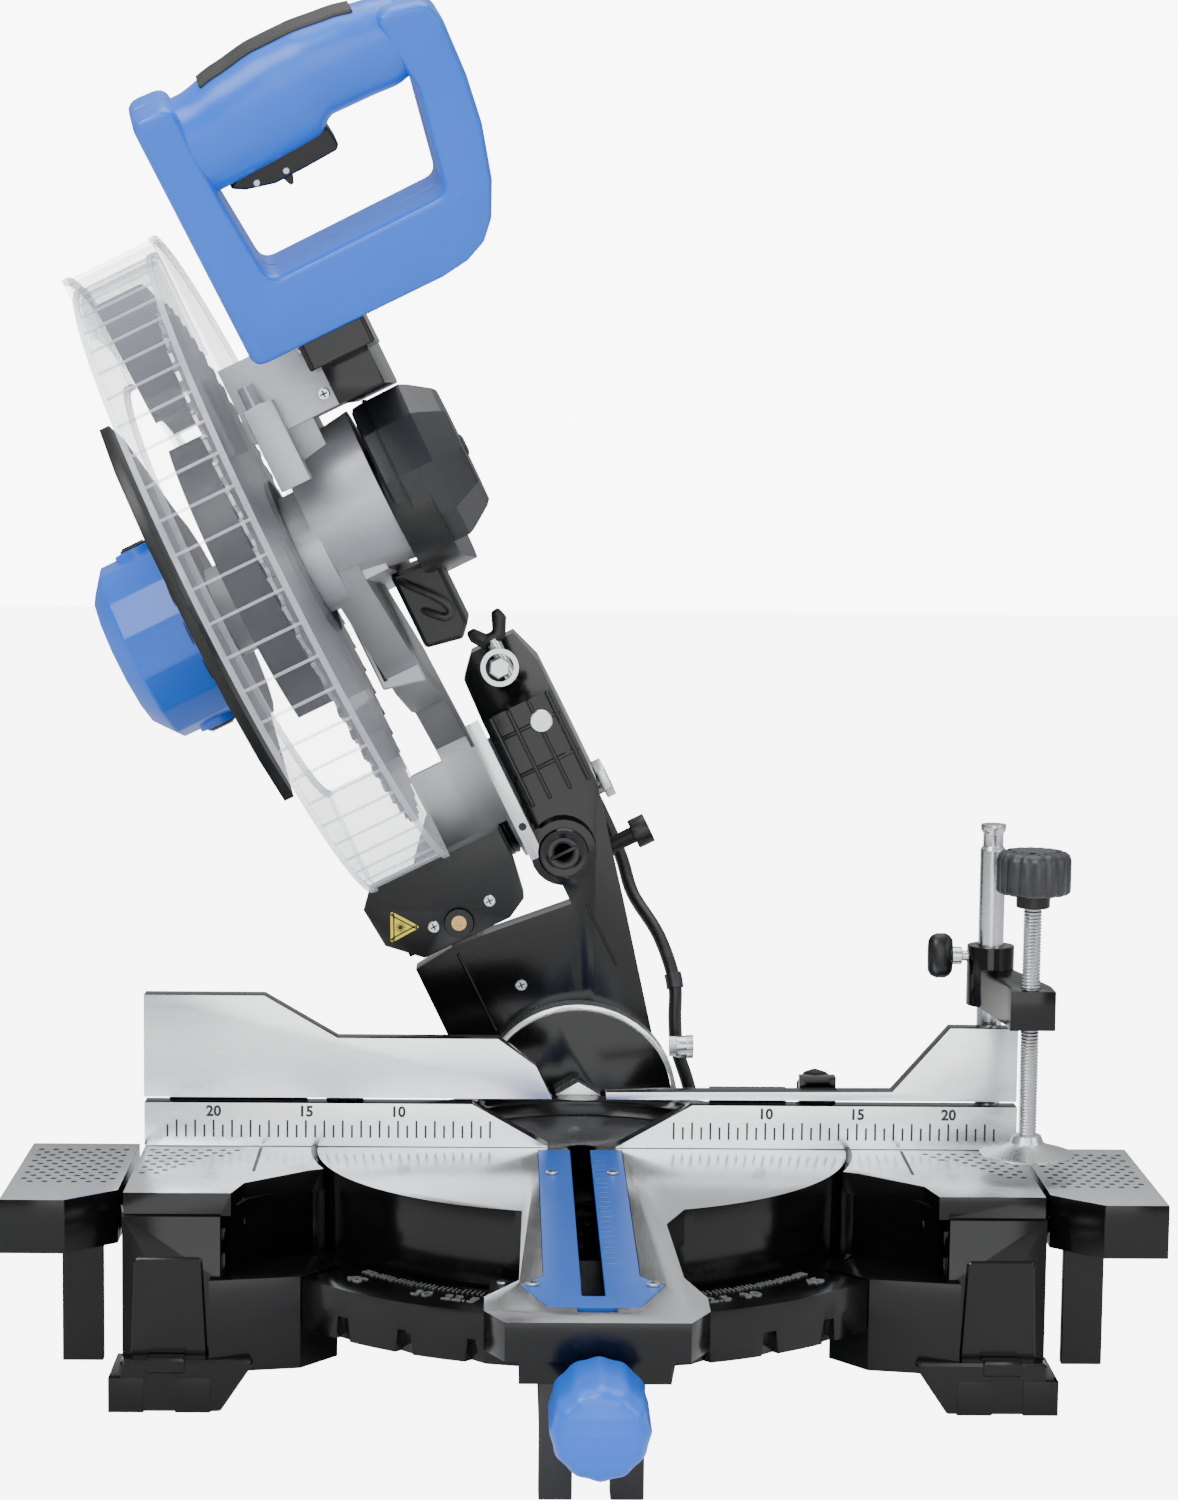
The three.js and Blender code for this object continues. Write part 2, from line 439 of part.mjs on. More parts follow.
// The D handle: two shells split down the middle, in its own leaning frame (x, z) with z from its foot.
function makeHandle() {
  const outer = [[39, 0], [40, 135], [62, 135], [76, 130], [166, 129], [188, 124], [192, 100], [178, 24], [157, 0]];
  const opening = [[65, 37], [62, 84], [118, 86], [127, 91], [167, 89], [158, 38]];
  const handle = (from, to) => cut(prism('y', outer, from, to), prism('y', opening, from - 1, to + 1),
    block(69, 121, -9, 9, 80, 122));
  place('handle_front_shell', handle(-HANDLE.half, -GAP / 2), BLUE, handleFrame);
  const foot = block(69, 91, 1, 19, -16, 3);
  place('handle_rear_shell', join(handle(GAP / 2, HANDLE.half), foot), BLUE, handleFrame);
  place('grip_pad', block(78, 164, -13, 13, 130.6, 133.6), RUBBER, handleFrame);
  place('trigger', prism('y', [[71, 80], [71, 92], [118, 92], [118, 82], [104, 78]], -7.5, 7.5), BLACK_PLASTIC, handleFrame);
  place('switch_block', block(78, 112, -8, 8, 97, 121), BLACK_PLASTIC, handleFrame);
  place('handle_arm', cut(block(67, 92, -150, 40, 416, 462), block(38, 160, -180, -100, 440, 470)), BLACK_PAINT, tilting);
}

// The mains lead: strain relief on the base, lead along the bench, coil and plug behind the saw.
function makeLead() {
  const exit = { x: -212, y: BASE_REAR + GAP, z: -60 };
  const low = -TABLE_HEIGHT + LEAD_DIAMETER / 2 + 0.5;
  place('strain_relief', rod('y', exit.x, exit.z, exit.y, exit.y + 36, 9, 5.5, 16), RUBBER, mains);
  const start = exit.y + 36 + GAP;
  const route = [[exit.x, start, exit.z], [exit.x, start + 8, exit.z], [exit.x, start + 20, exit.z - 4],
    [exit.x + 1, start + 36, exit.z - 20], [exit.x + 4, start + 48, low + 10], [exit.x + 10, start + 64, low],
    [-195, 165, low], [-188, 182, low], [-177, 195, low], [-164, 201.8, low], [-151.2, 203, low]];
  place('mains_lead', tube(route, LEAD_DIAMETER / 2, 8, 30), RUBBER, mains);
  place('lead_coil', turned('z', COIL.x, COIL.y, ringProfile(COIL.inner, COIL.outer, -TABLE_HEIGHT,
    -TABLE_HEIGHT + COIL.height), 32), RUBBER, mains);
  const tail = [[-67, 118.7, low], [-66.5, 108, low], [-62, 97, low], [-52, 89, low + 2], [-42, 86, low + 6],
    [-34, 86, low + 6.5]];
  place('lead_tail', tube(tail, LEAD_DIAMETER / 2, 8, 10), RUBBER, mains);
  const pin = (y) => rod('x', y, PLUG.z, PLUG.right - 1, PLUG.right + 19, 2.4, 2.4, 10);
  place('mains_plug', join(
    rod('x', PLUG.y, PLUG.z, PLUG.left, PLUG.left + 14, 6, 10, 16),
    block(PLUG.left + 12, PLUG.right, PLUG.y - 18, PLUG.y + 18, -TABLE_HEIGHT, PLUG.z + 11),
    pin(PLUG.y - 9.5), pin(PLUG.y + 9.5),
  ), BLACK_PLASTIC, mains);
}

makeBase();
makeTurntable();
makeFences();
makeWing(-1, 'left');
makeWing(1, 'right');
makeClamp();
makeBevelArm();
makeHead();
makeGuards();
makeDrive();
makeHandle();

// The saw stands on z = 0 with the middle of its footprint at the origin.
const box = new THREE.Box3().setFromObject(saw, true);
const centre = box.getCenter(new THREE.Vector3());
const group = new THREE.Group();
group.add(saw, mains);
group.position.set(-centre.x, -centre.y, TABLE_HEIGHT);
makeLead();

export default group;
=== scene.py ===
"""Looks of a compound mitre saw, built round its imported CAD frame.

Sizes are in millimetres in the saw's own frame: the table's top is z = 0, the fence's front is
y = 0, the kerf runs along y at x = 0 and the front of the saw faces -Y. The tilting head is built
upright and leant over by the bevel angle. Every mesh is turned to the row frame, in metres.
"""

import json
import logging
import math
from dataclasses import dataclass
from enum import Enum
from typing import Callable, Iterable, Optional, Sequence

import bmesh
import bpy
from mathutils import Euler, Matrix, Vector
from mathutils.geometry import tessellate_polygon


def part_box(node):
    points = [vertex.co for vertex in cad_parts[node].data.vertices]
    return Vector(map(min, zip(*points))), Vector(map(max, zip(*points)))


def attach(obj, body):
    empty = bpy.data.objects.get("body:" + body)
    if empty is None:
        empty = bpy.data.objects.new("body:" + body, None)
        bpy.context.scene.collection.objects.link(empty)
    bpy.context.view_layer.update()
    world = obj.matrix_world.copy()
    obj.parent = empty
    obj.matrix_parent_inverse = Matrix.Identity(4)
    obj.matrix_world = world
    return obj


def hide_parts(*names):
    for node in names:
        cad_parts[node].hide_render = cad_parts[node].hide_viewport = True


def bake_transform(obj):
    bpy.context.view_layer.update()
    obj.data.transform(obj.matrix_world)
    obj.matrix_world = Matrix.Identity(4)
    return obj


LOG = logging.getLogger("mitre_saw")
Point = tuple[float, float, float]
Flat = tuple[float, float]

MM = 0.001
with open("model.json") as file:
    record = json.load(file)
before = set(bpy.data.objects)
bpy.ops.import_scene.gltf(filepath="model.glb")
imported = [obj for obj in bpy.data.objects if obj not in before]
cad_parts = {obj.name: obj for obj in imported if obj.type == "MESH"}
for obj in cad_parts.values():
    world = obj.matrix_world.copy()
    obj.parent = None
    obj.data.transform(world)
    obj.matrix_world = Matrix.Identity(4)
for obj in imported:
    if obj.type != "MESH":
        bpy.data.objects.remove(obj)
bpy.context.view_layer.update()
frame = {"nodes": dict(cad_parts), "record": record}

TABLE_HEIGHT = 110.0
BEVEL = math.radians(26.5)
HANDLE_LEAN = math.radians(22)
ARBOR: Flat = (-10.0, 355.0)
PIVOT: Flat = (190.0, 155.0)
MOTOR: Flat = (205.0, 341.0)
CAP: Flat = (-5.0, 371.0)
LEAD_DIAMETER = 8.0
BUMP_DISTANCE = 0.0004
COAT_ROUGHNESS = 0.12
LEAST_ROUGHNESS = 0.02
BACKDROP = 9.0
WHITE = (1, 1, 1, 1)
DUST = (0.5, 0.48, 0.45, 1)


def fence_front() -> float:
    """The row frame's y of the fence's front face, in millimetres."""
    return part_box("fixed_fence")[0].y / MM


BENCH = Matrix.Translation(Vector((0, fence_front(), TABLE_HEIGHT)) * MM) @ Matrix.Scale(MM, 4)
TILT = BENCH @ Matrix.Rotation(-BEVEL, 4, "Y")
GRIP = TILT @ Matrix.Translation((0, -150, 455)) @ Matrix.Rotation(HANDLE_LEAN, 4, "X")


class Place(Enum):
    """The frame that a piece's millimetres are given in."""

    BENCH = "bench"
    TILT = "tilt"
    GRIP = "grip"

    @property
    def matrix(self) -> Matrix:
        """The matrix from this frame to the row frame."""
        return {"bench": BENCH, "tilt": TILT, "grip": GRIP}[self.value]


# ---------------------------------------------------------------- finishes


def feed(tree: bpy.types.NodeTree, node: bpy.types.Node, inputs: dict[object, object]) -> None:
    """Sets a node's inputs.

    Args:
        tree: The node tree.
        node: The node.
        inputs: For each input, by name or number, a value or the socket that feeds it.
    """
    for key, value in inputs.items():
        if isinstance(value, bpy.types.NodeSocket):
            tree.links.new(value, node.inputs[key])
        else:
            node.inputs[key].default_value = value


def wired(tree: bpy.types.NodeTree, kind: str, inputs: Optional[dict[object, object]] = None,
          **settings: object) -> bpy.types.Node:
    """Adds a node, sets it up and feeds its inputs.

    Args:
        tree: The node tree.
        kind: The node's type.
        inputs: What feed() takes.
        settings: The node's own properties.

    Returns:
        The node.
    """
    made = tree.nodes.new(kind)
    for name, value in settings.items():
        setattr(made, name, value)
    feed(tree, made, inputs or {})
    return made


class Groups:
    """Shader node groups that several finishes share."""

    def __init__(self) -> None:
        """Builds the groups once."""
        self.grain = self._grain()
        self.wear = self._wear()

    @staticmethod
    def _new(name: str, inputs: Sequence[tuple[str, float]], outputs: Sequence[str]) -> bpy.types.NodeTree:
        """Starts a group with number inputs.

        Args:
            name: The group's name.
            inputs: Names and defaults of its inputs.
            outputs: Names of its outputs.

        Returns:
            The empty group, with its input and output nodes added.
        """
        tree = bpy.data.node_groups.new(name, "ShaderNodeTree")
        for label, default in inputs:
            socket = tree.interface.new_socket(label, in_out="INPUT", socket_type="NodeSocketFloat")
            socket.default_value = default
        for label in outputs:
            tree.interface.new_socket(label, in_out="OUTPUT", socket_type="NodeSocketFloat")
        tree.nodes.new("NodeGroupInput").name = "in"
        tree.nodes.new("NodeGroupOutput").name = "out"
        return tree

    def _grain(self) -> bpy.types.NodeTree:
        """Fine grain drawn out along one way, for moulded plastic, castings and brushed metal.

        Returns:
            A group that gives a height and a shade from 0 to 1.
        """
        tree = self._new("surface_grain", [("Scale", 900), ("Along X", 1), ("Along Y", 1), ("Along Z", 1)],
                         ["Height", "Shade"])
        start = tree.nodes["in"].outputs
        place = wired(tree, "ShaderNodeTexCoord").outputs["Object"]
        stretch = wired(tree, "ShaderNodeCombineXYZ", {axis: start[f"Along {axis}"] for axis in "XYZ"})
        product = wired(tree, "ShaderNodeVectorMath", {0: place, 1: stretch.outputs[0]}, operation="MULTIPLY")
        fine = wired(tree, "ShaderNodeTexNoise",
                     {"Vector": product.outputs[0], "Scale": start["Scale"], "Detail": 4})
        broad = wired(tree, "ShaderNodeTexNoise", {"Vector": place, "Scale": 9, "Detail": 5})
        feed(tree, tree.nodes["out"], {"Height": fine.outputs["Fac"], "Shade": broad.outputs["Fac"]})
        return tree

    def _wear(self) -> bpy.types.NodeTree:
        """Handling marks: sparse rubbed patches and settled dust.

        Returns:
            A group that gives a wear mask and a dust mask.
        """
        tree = self._new("handling_marks", [("Wear", 0.1), ("Dust", 0.1)], ["Wear", "Dust"])
        place = wired(tree, "ShaderNodeTexCoord").outputs["Object"]
        edge = 0.22
        for label, scale, low in (("Wear", 55, 0.6), ("Dust", 14, 0.42)):
            noise = wired(tree, "ShaderNodeTexNoise", {"Vector": place, "Scale": scale, "Detail": 6})
            mask = wired(tree, "ShaderNodeMapRange",
                         {"Value": noise.outputs["Fac"], "From Min": low, "From Max": low + edge})
            amount = wired(tree, "ShaderNodeMath", {0: mask.outputs[0], 1: tree.nodes["in"].outputs[label]},
                           operation="MULTIPLY")
            feed(tree, tree.nodes["out"], {label: amount.outputs[0]})
        return tree


@dataclass(frozen=True)
class Finish:
    """One finish: colour, gloss, grain and marks."""

    name: str
    slot: str
    colour: tuple[float, float, float]
    roughness: float
    metallic: float = 0.0
    coat: float = 0.0
    specular: float = 0.5
    alpha: float = 1.0
    grain: float = 900.0
    depth: float = 0.05
    along: Point = (1, 1, 1)
    spread: float = 0.06
    wear: float = 0.05
    dust: float = 0.04
    worn: tuple[float, float, float] = (0.45, 0.45, 0.46)

    def build(self, groups: Groups) -> bpy.types.Material:
        """Makes the finish's material.

        Args:
            groups: The shared node groups.

        Returns:
            The material, made once.
        """
        made = bpy.data.materials.get(self.name)
        if made:
            return made
        made = bpy.data.materials.new(self.name)
        made.use_nodes = True
        tree = made.node_tree
        stretch = {f"Along {axis}": value for axis, value in zip("XYZ", self.along)}
        grain = wired(tree, "ShaderNodeGroup", {"Scale": self.grain, **stretch}, node_tree=groups.grain)
        marks = wired(tree, "ShaderNodeGroup", {"Wear": self.wear, "Dust": self.dust}, node_tree=groups.wear)
        low = max(LEAST_ROUGHNESS, self.roughness - self.spread)
        rough = wired(tree, "ShaderNodeMapRange", {"Value": grain.outputs["Height"], "To Min": low,
                                                   "To Max": self.roughness + self.spread})
        dulled = wired(tree, "ShaderNodeMath", {0: rough.outputs[0], 1: marks.outputs["Dust"]},
                       operation="ADD")
        bump = wired(tree, "ShaderNodeBump",
                     {"Height": grain.outputs["Height"], "Strength": self.depth, "Distance": BUMP_DISTANCE})
        shader = tree.nodes["Principled BSDF"]
        feed(tree, shader,
             {"Base Color": self._tone(tree, grain, marks), "Roughness": dulled.outputs[0],
              "Normal": bump.outputs[0], "Metallic": self.metallic, "Specular IOR Level": self.specular,
              "Coat Weight": self.coat, "Coat Roughness": COAT_ROUGHNESS})
        if self.alpha < 1:
            self._clear(tree, shader)
        made.diffuse_color = (*self.colour, self.alpha)
        return made

    def _tone(self, tree: bpy.types.NodeTree, grain: bpy.types.Node,
              marks: bpy.types.Node) -> bpy.types.NodeSocket:
        """Varies the colour with the broad shade, wear and dust.

        Args:
            tree: The material's nodes.
            grain: The grain group node.
            marks: The marks group node.

        Returns:
            The socket that holds the colour.
        """
        last: object = (*(0.86 * c for c in self.colour), 1)
        light = (*(min(1, 1.1 * c) for c in self.colour), 1)
        for colour, factor in ((light, grain.outputs["Shade"]), ((*self.worn, 1), marks.outputs["Wear"]),
                               (DUST, marks.outputs["Dust"])):
            last = wired(tree, "ShaderNodeMix", {0: factor, 6: last, 7: colour}, data_type="RGBA").outputs[2]
        return last

    def _clear(self, tree: bpy.types.NodeTree, shader: bpy.types.Node) -> None:
        """Makes the finish see-through, more solid where it is seen edge on.

        Args:
            tree: The material's nodes.
            shader: The Principled shader.
        """
        facing = wired(tree, "ShaderNodeLayerWeight", {"Blend": 0.35})
        ramp = wired(tree, "ShaderNodeMapRange", {"Value": facing.outputs["Facing"], "To Min": self.alpha,
                                                  "To Max": min(1.0, self.alpha + 0.4)})
        feed(tree, shader, {"Alpha": ramp.outputs[0]})


BLACK_PAINT = Finish("gloss_black_powder_coat", "black_paint", (0.0022, 0.0022, 0.0026), 0.15, specular=0.36,
                     grain=420, depth=0.03, spread=0.03, wear=0.004, dust=0.002)
MACHINED = Finish("milled_aluminium", "machined", (0.9, 0.91, 0.95), 0.27, 1.0, grain=260, depth=0.06,
                  along=(0.12, 3, 1), wear=0.08, worn=(0.6, 0.6, 0.62))
TURNED_TOP = Finish("turned_table_top", "machined", (0.84, 0.85, 0.87), 0.2, 1.0, grain=300, depth=0.05,
                    along=(4, 0.15, 1), wear=0.06, worn=(0.65, 0.65, 0.68))
CAST = Finish("blasted_aluminium_casting", "cast", (0.5, 0.51, 0.53), 0.42, 0.85, grain=1500, depth=0.3,
              wear=0.1, worn=(0.7, 0.7, 0.72))
STEEL = Finish("bright_zinc", "steel", (0.66, 0.67, 0.68), 0.24, 1.0, grain=700, depth=0.06)
DARK_STEEL = Finish("blackened_steel", "dark_steel", (0.03, 0.03, 0.033), 0.33, 0.8, grain=800, depth=0.08)
BLADE_STEEL = Finish("ground_blade_steel", "steel", (0.5, 0.5, 0.52), 0.3, 1.0, grain=500, along=(1, 6, 0.3))
CARBIDE = Finish("brazed_carbide", "dark_steel", (0.3, 0.29, 0.28), 0.3, 1.0)
BLUE = Finish("blue_moulded_plastic", "blue_plastic", (0.003, 0.13, 0.74), 0.33, coat=0.1, grain=1300,
              depth=0.12, worn=(0.05, 0.2, 0.75), dust=0.01)
BLUE_INSERT = Finish("blue_insert_plastic", "blue_plastic", (0.006, 0.1, 0.5), 0.4, grain=1500, depth=0.15,
                     dust=0.01)
BLACK_PLASTIC = Finish("black_moulded_plastic", "black_plastic", (0.005, 0.005, 0.0055), 0.34, specular=0.4,
                       grain=1400, depth=0.15, wear=0.01, dust=0.01)
GREY_PLASTIC = Finish("grey_moulded_plastic", "grey_plastic", (0.022, 0.022, 0.027), 0.36, grain=1300,
                      depth=0.2, wear=0.01, dust=0.01)
RUBBER = Finish("soft_rubber", "rubber", (0.014, 0.014, 0.015), 0.62, grain=1800, depth=0.3)
CORD_RUBBER = Finish("cord_jacket", "rubber", (0.012, 0.012, 0.013), 0.4, grain=900, depth=0.1)
CLEAR = Finish("clear_polycarbonate", "clear_plastic", (0.5, 0.53, 0.6), 0.05, alpha=0.04, depth=0.02, wear=0,
               dust=0.03)
# A lighter, more opaque copy of the clear finish for the guards' beads, ribs and pegs: painted highlight on
# their edges.
CLEAR_PAINTED_HIGHLIGHT = Finish("clear_polycarbonate_painted_highlight", "clear_plastic", (0.8, 0.83, 0.9), 0.1, alpha=0.28,
                    depth=0.02, wear=0, dust=0.02)
BRASS = Finish("turned_brass", "brass", (0.55, 0.36, 0.14), 0.28, 1.0, grain=600)
COPPER = Finish("varnished_copper", "copper", (0.45, 0.17, 0.07), 0.4, 0.9)
# Black for print, ticks and seams, and also painted shade in holes, slots, vents and screw recesses.
INK_AND_PAINTED_SHADE = Finish("black_print_and_painted_shade", "black_plastic", (0.01, 0.01, 0.011), 0.5, depth=0, wear=0, dust=0)
# The raised marks are the same black paint as the casting, drawn grey as a painted highlight; the insert's
# ticks share it.
RAISED_MARK_PAINTED_HIGHLIGHT = Finish("raised_marks_painted_highlight", "black_paint", (0.16, 0.16, 0.17), 0.25, coat=0.4)
YELLOW = Finish("yellow_label", "black_plastic", (0.86, 0.72, 0.02), 0.4, depth=0, wear=0)


# ---------------------------------------------------------------- outlines and solids


def lift(axis: str, a: float, b: float, along: float) -> Point:
    """Puts a flat point (a, b) at a height along the named axis."""
    return {"x": (along, a, b), "y": (a, along, b), "z": (a, b, along)}[axis]


def polar(radius: float, degrees: float, centre: Flat = (0, 0)) -> Flat:
    """The point at a radius and an angle about a centre."""
    angle = math.radians(degrees)
    return centre[0] + radius * math.cos(angle), centre[1] + radius * math.sin(angle)


def arc(radius: float, start: float, end: float, steps: int, centre: Flat = (0, 0)) -> list[Flat]:
    """Points along an arc, both ends included."""
    return [polar(radius, start + (end - start) * i / steps, centre) for i in range(steps + 1)]


def rounded(corners: Sequence[Flat], radius: float, steps: int = 4) -> list[Flat]:
    """Rounds an outline's corners.

    Args:
        corners: The outline's corners.
        radius: The fillet's radius, cut down where a side is short.
        steps: Facets in each fillet.

    Returns:
        The rounded outline.
    """
    points: list[Flat] = []
    for i, corner in enumerate(corners):
        here = Vector(corner)
        back, ahead = Vector(corners[i - 1]) - here, Vector(corners[(i + 1) % len(corners)]) - here
        turn = back.angle(ahead)
        reach = min(radius / math.tan(turn / 2), back.length * 0.45, ahead.length * 0.45)
        start, end = here + back.normalized() * reach, here + ahead.normalized() * reach
        for k in range(steps + 1):
            t = k / steps
            point = start * (1 - t) ** 2 + here * 2 * t * (1 - t) + end * t ** 2
            points.append((point.x, point.y))
    return points


def area(points: Sequence[Flat]) -> float:
    """Twice the signed area of an outline."""
    return sum(points[i - 1][0] * p[1] - p[0] * points[i - 1][1] for i, p in enumerate(points))


def inset(points: Sequence[Flat], amount: float) -> list[Flat]:
    """Moves each side of an outline inwards.

    Args:
        points: The outline.
        amount: How far; negative grows it.

    Returns:
        The moved outline, point for point.
    """
    sign = 1 if area(points) > 0 else -1
    moved: list[Flat] = []
    for i, here in enumerate(points):
        before, after = Vector(points[i - 1]), Vector(points[(i + 1) % len(points)])
        one, two = (Vector(here) - before).normalized(), (after - Vector(here)).normalized()
        first, second = Vector((-one.y, one.x)) * sign, Vector((-two.y, two.x)) * sign
        shift = (first + second) / max(0.3, 1 + first.dot(second)) * amount
        moved.append((here[0] + shift.x, here[1] + shift.y))
    return moved


def catmull(points: Sequence[Point], per_span: int) -> list[Vector]:
    """A smooth curve through the points, per_span samples between each two."""
    knots = [Vector(p) for p in points]
    knots = [knots[0] * 2 - knots[1], *knots, knots[-1] * 2 - knots[-2]]
    line: list[Vector] = []
    for i in range(1, len(knots) - 2):
        a, b, c, d = knots[i - 1:i + 3]
        for k in range(per_span):
            t = k / per_span
            line.append(0.5 * (2 * b + (c - a) * t + (2 * a - 5 * b + 4 * c - d) * t * t
                               + (3 * b - a - 3 * c + d) * t ** 3))
    line.append(knots[-2].copy())
    return line


def soft_ends(span: Flat, soft: float) -> list[Flat]:
    """Layers of a straight sweep whose two ends are drawn in."""
    return [(span[0], soft), (span[0] + soft, 0), (span[1] - soft, 0), (span[1], soft)]


class Solid:
    """A closed mesh in millimetres, put together from simple shapes."""

    def __init__(self) -> None:
        """Starts with nothing in it."""
        self.points: list[Point] = []
        self.faces: list[tuple[int, ...]] = []

    def _loops(self, loops: Sequence[Sequence[Point]], closed: bool) -> list[list[int]]:
        """Adds rings of points and skins them.

        Args:
            loops: Rings with the same number of points each.
            closed: Whether the last ring joins the first.

        Returns:
            The rings' point numbers.
        """
        rings: list[list[int]] = []
        for loop in loops:
            start = len(self.points)
            self.points.extend(loop)
            rings.append(list(range(start, start + len(loop))))
        pairs = list(zip(rings, rings[1:])) + ([(rings[-1], rings[0])] if closed else [])
        for one, two in pairs:
            for i in range(len(one)):
                self.faces.append((one[i - 1], one[i], two[i], two[i - 1]))
        return rings

    def _cap(self, rings: Sequence[Sequence[int]], flat: Sequence[Sequence[Flat]]) -> None:
        """Closes one end, with any holes left open."""
        numbers = [n for ring in rings for n in ring]
        for triangle in tessellate_polygon([[Vector((*p, 0)) for p in loop] for loop in flat]):
            self.faces.append(tuple(numbers[i] for i in triangle))

    def loft(self, loops: Sequence[Sequence[Point]]) -> "Solid":
        """Skins rings of points into a body with flat ends."""
        rings = self._loops(loops, False)
        self.faces += [tuple(rings[0]), tuple(reversed(rings[-1]))]
        return self

    def join(self, other: "Solid", matrix: Matrix) -> "Solid":
        """Adds another solid, moved by a matrix."""
        start = len(self.points)
        self.points += [tuple(matrix @ Vector(p)) for p in other.points]
        self.faces += [tuple(i + start for i in face) for face in other.faces]
        return self

    def layered(self, axis: str, outline: Sequence[Flat], layers: Sequence[Flat],
                holes: Sequence[Sequence[Flat]] = ()) -> "Solid":
        """Sweeps an outline along an axis, drawn in at each layer.

        Args:
            axis: x, y or z.
            outline: The outer outline.
            layers: (height, inset) pairs in order.
            holes: Outlines left open, which widen where the outer one is drawn in.

        Returns:
            This solid.
        """
        flats = [[inset(outline, amount)] + [inset(hole, -amount) for hole in holes] for _, amount in layers]
        stacks = [
            self._loops([[lift(axis, a, b, height) for a, b in flat[k]]
                         for (height, _), flat in zip(layers, flats)], False)
            for k in range(1 + len(holes))]
        self._cap([stack[0] for stack in stacks], flats[0])
        self._cap([stack[-1] for stack in stacks], flats[-1])
        return self

    def box(self, x: Flat, y: Flat, z: Flat, soft: float = 0.4) -> "Solid":
        """Adds a box with small bevels round its vertical sides and both ends."""
        outline = [(x[0], y[0]), (x[1], y[0]), (x[1], y[1]), (x[0], y[1])]
        return self.layered("z", rounded(outline, soft, 2), soft_ends(z, soft))

    def lathe(self, axis: str, centre: Flat, profile: Sequence[Flat], steps: int = 32,
              sweep: Flat = (0, 360)) -> "Solid":
        """Turns a closed profile of (radius, along) points about an axis.

        Args:
            axis: x, y or z.
            centre: The axis's place in the other two.
            profile: Corners of the section.
            steps: Facets round.
            sweep: First and last angle; a part turn has its ends closed.

        Returns:
            This solid.
        """
        whole = abs(sweep[1] - sweep[0]) >= 360
        count = steps if whole else steps + 1
        loops = []
        for i in range(count):
            angle = sweep[0] + (sweep[1] - sweep[0]) * i / steps
            loops.append([lift(axis, *polar(max(radius, 0.001), angle, centre), along) for radius,
                          along in profile])
        rings = self._loops(loops, whole)
        if not whole:
            for ring in (rings[0], rings[-1]):
                self._cap([ring], [profile])
        return self

    def rod(self, axis: str, centre: Flat, span: Flat, radius: float, soft: float = 0.5,
            sides: int = 24) -> "Solid":
        """Adds a round bar with softened ends."""
        return self.layered(axis, arc(radius, 0, 360 - 360 / sides, sides - 1, centre), soft_ends(span, soft))

    def tube(self, line: Sequence[Vector], radius: float, sides: int = 12) -> "Solid":
        """Adds a round tube along a line of points, closed at both ends."""
        loops: list[list[Point]] = []
        across = Vector((0, 0, 1))
        for i, here in enumerate(line):
            ahead = (line[min(i + 1, len(line) - 1)] - line[max(i - 1, 0)]).normalized()
            side = across.cross(ahead)
            side = (side if side.length > 1e-4 else Vector((1, 0, 0)).cross(ahead)).normalized()
            across = ahead.cross(side).normalized()
            loops.append([tuple(here + side * radius * math.cos(2 * math.pi * k / sides)
                                + across * radius * math.sin(2 * math.pi * k / sides)) for k in range(sides)])
        return self.loft(loops)

    def mesh(self, name: str, matrix: Matrix, crease: float = 35) -> bpy.types.Mesh:
        """Makes the Blender mesh in the row frame.

        Args:
            name: The mesh's name.
            matrix: From these millimetres to the row frame.
            crease: Edges sharper than this, in degrees, are shaded sharp.

        Returns:
            The mesh, smooth shaded between creases.
        """
        made = bpy.data.meshes.new(name)
        made.from_pydata([matrix @ Vector(p) for p in self.points], [], self.faces)
        return settled(made, crease)


def settled(mesh: bpy.types.Mesh, crease: float = 35) -> bpy.types.Mesh:
    """Merges a mesh's doubles, turns its faces out and shades it.

    Args:
        mesh: The mesh to settle.
        crease: The sharp angle in degrees.

    Returns:
        The same mesh.
    """
    work = bmesh.new()
    work.from_mesh(mesh)
    bmesh.ops.remove_doubles(work, verts=work.verts, dist=2e-6)
    bmesh.ops.dissolve_degenerate(work, dist=1e-6, edges=work.edges)
    bmesh.ops.recalc_face_normals(work, faces=work.faces)
    work.to_mesh(mesh)
    work.free()
    mesh.shade_smooth()
    mesh.set_sharp_from_angle(angle=math.radians(crease))
    return mesh


# ---------------------------------------------------------------- pieces on the frame


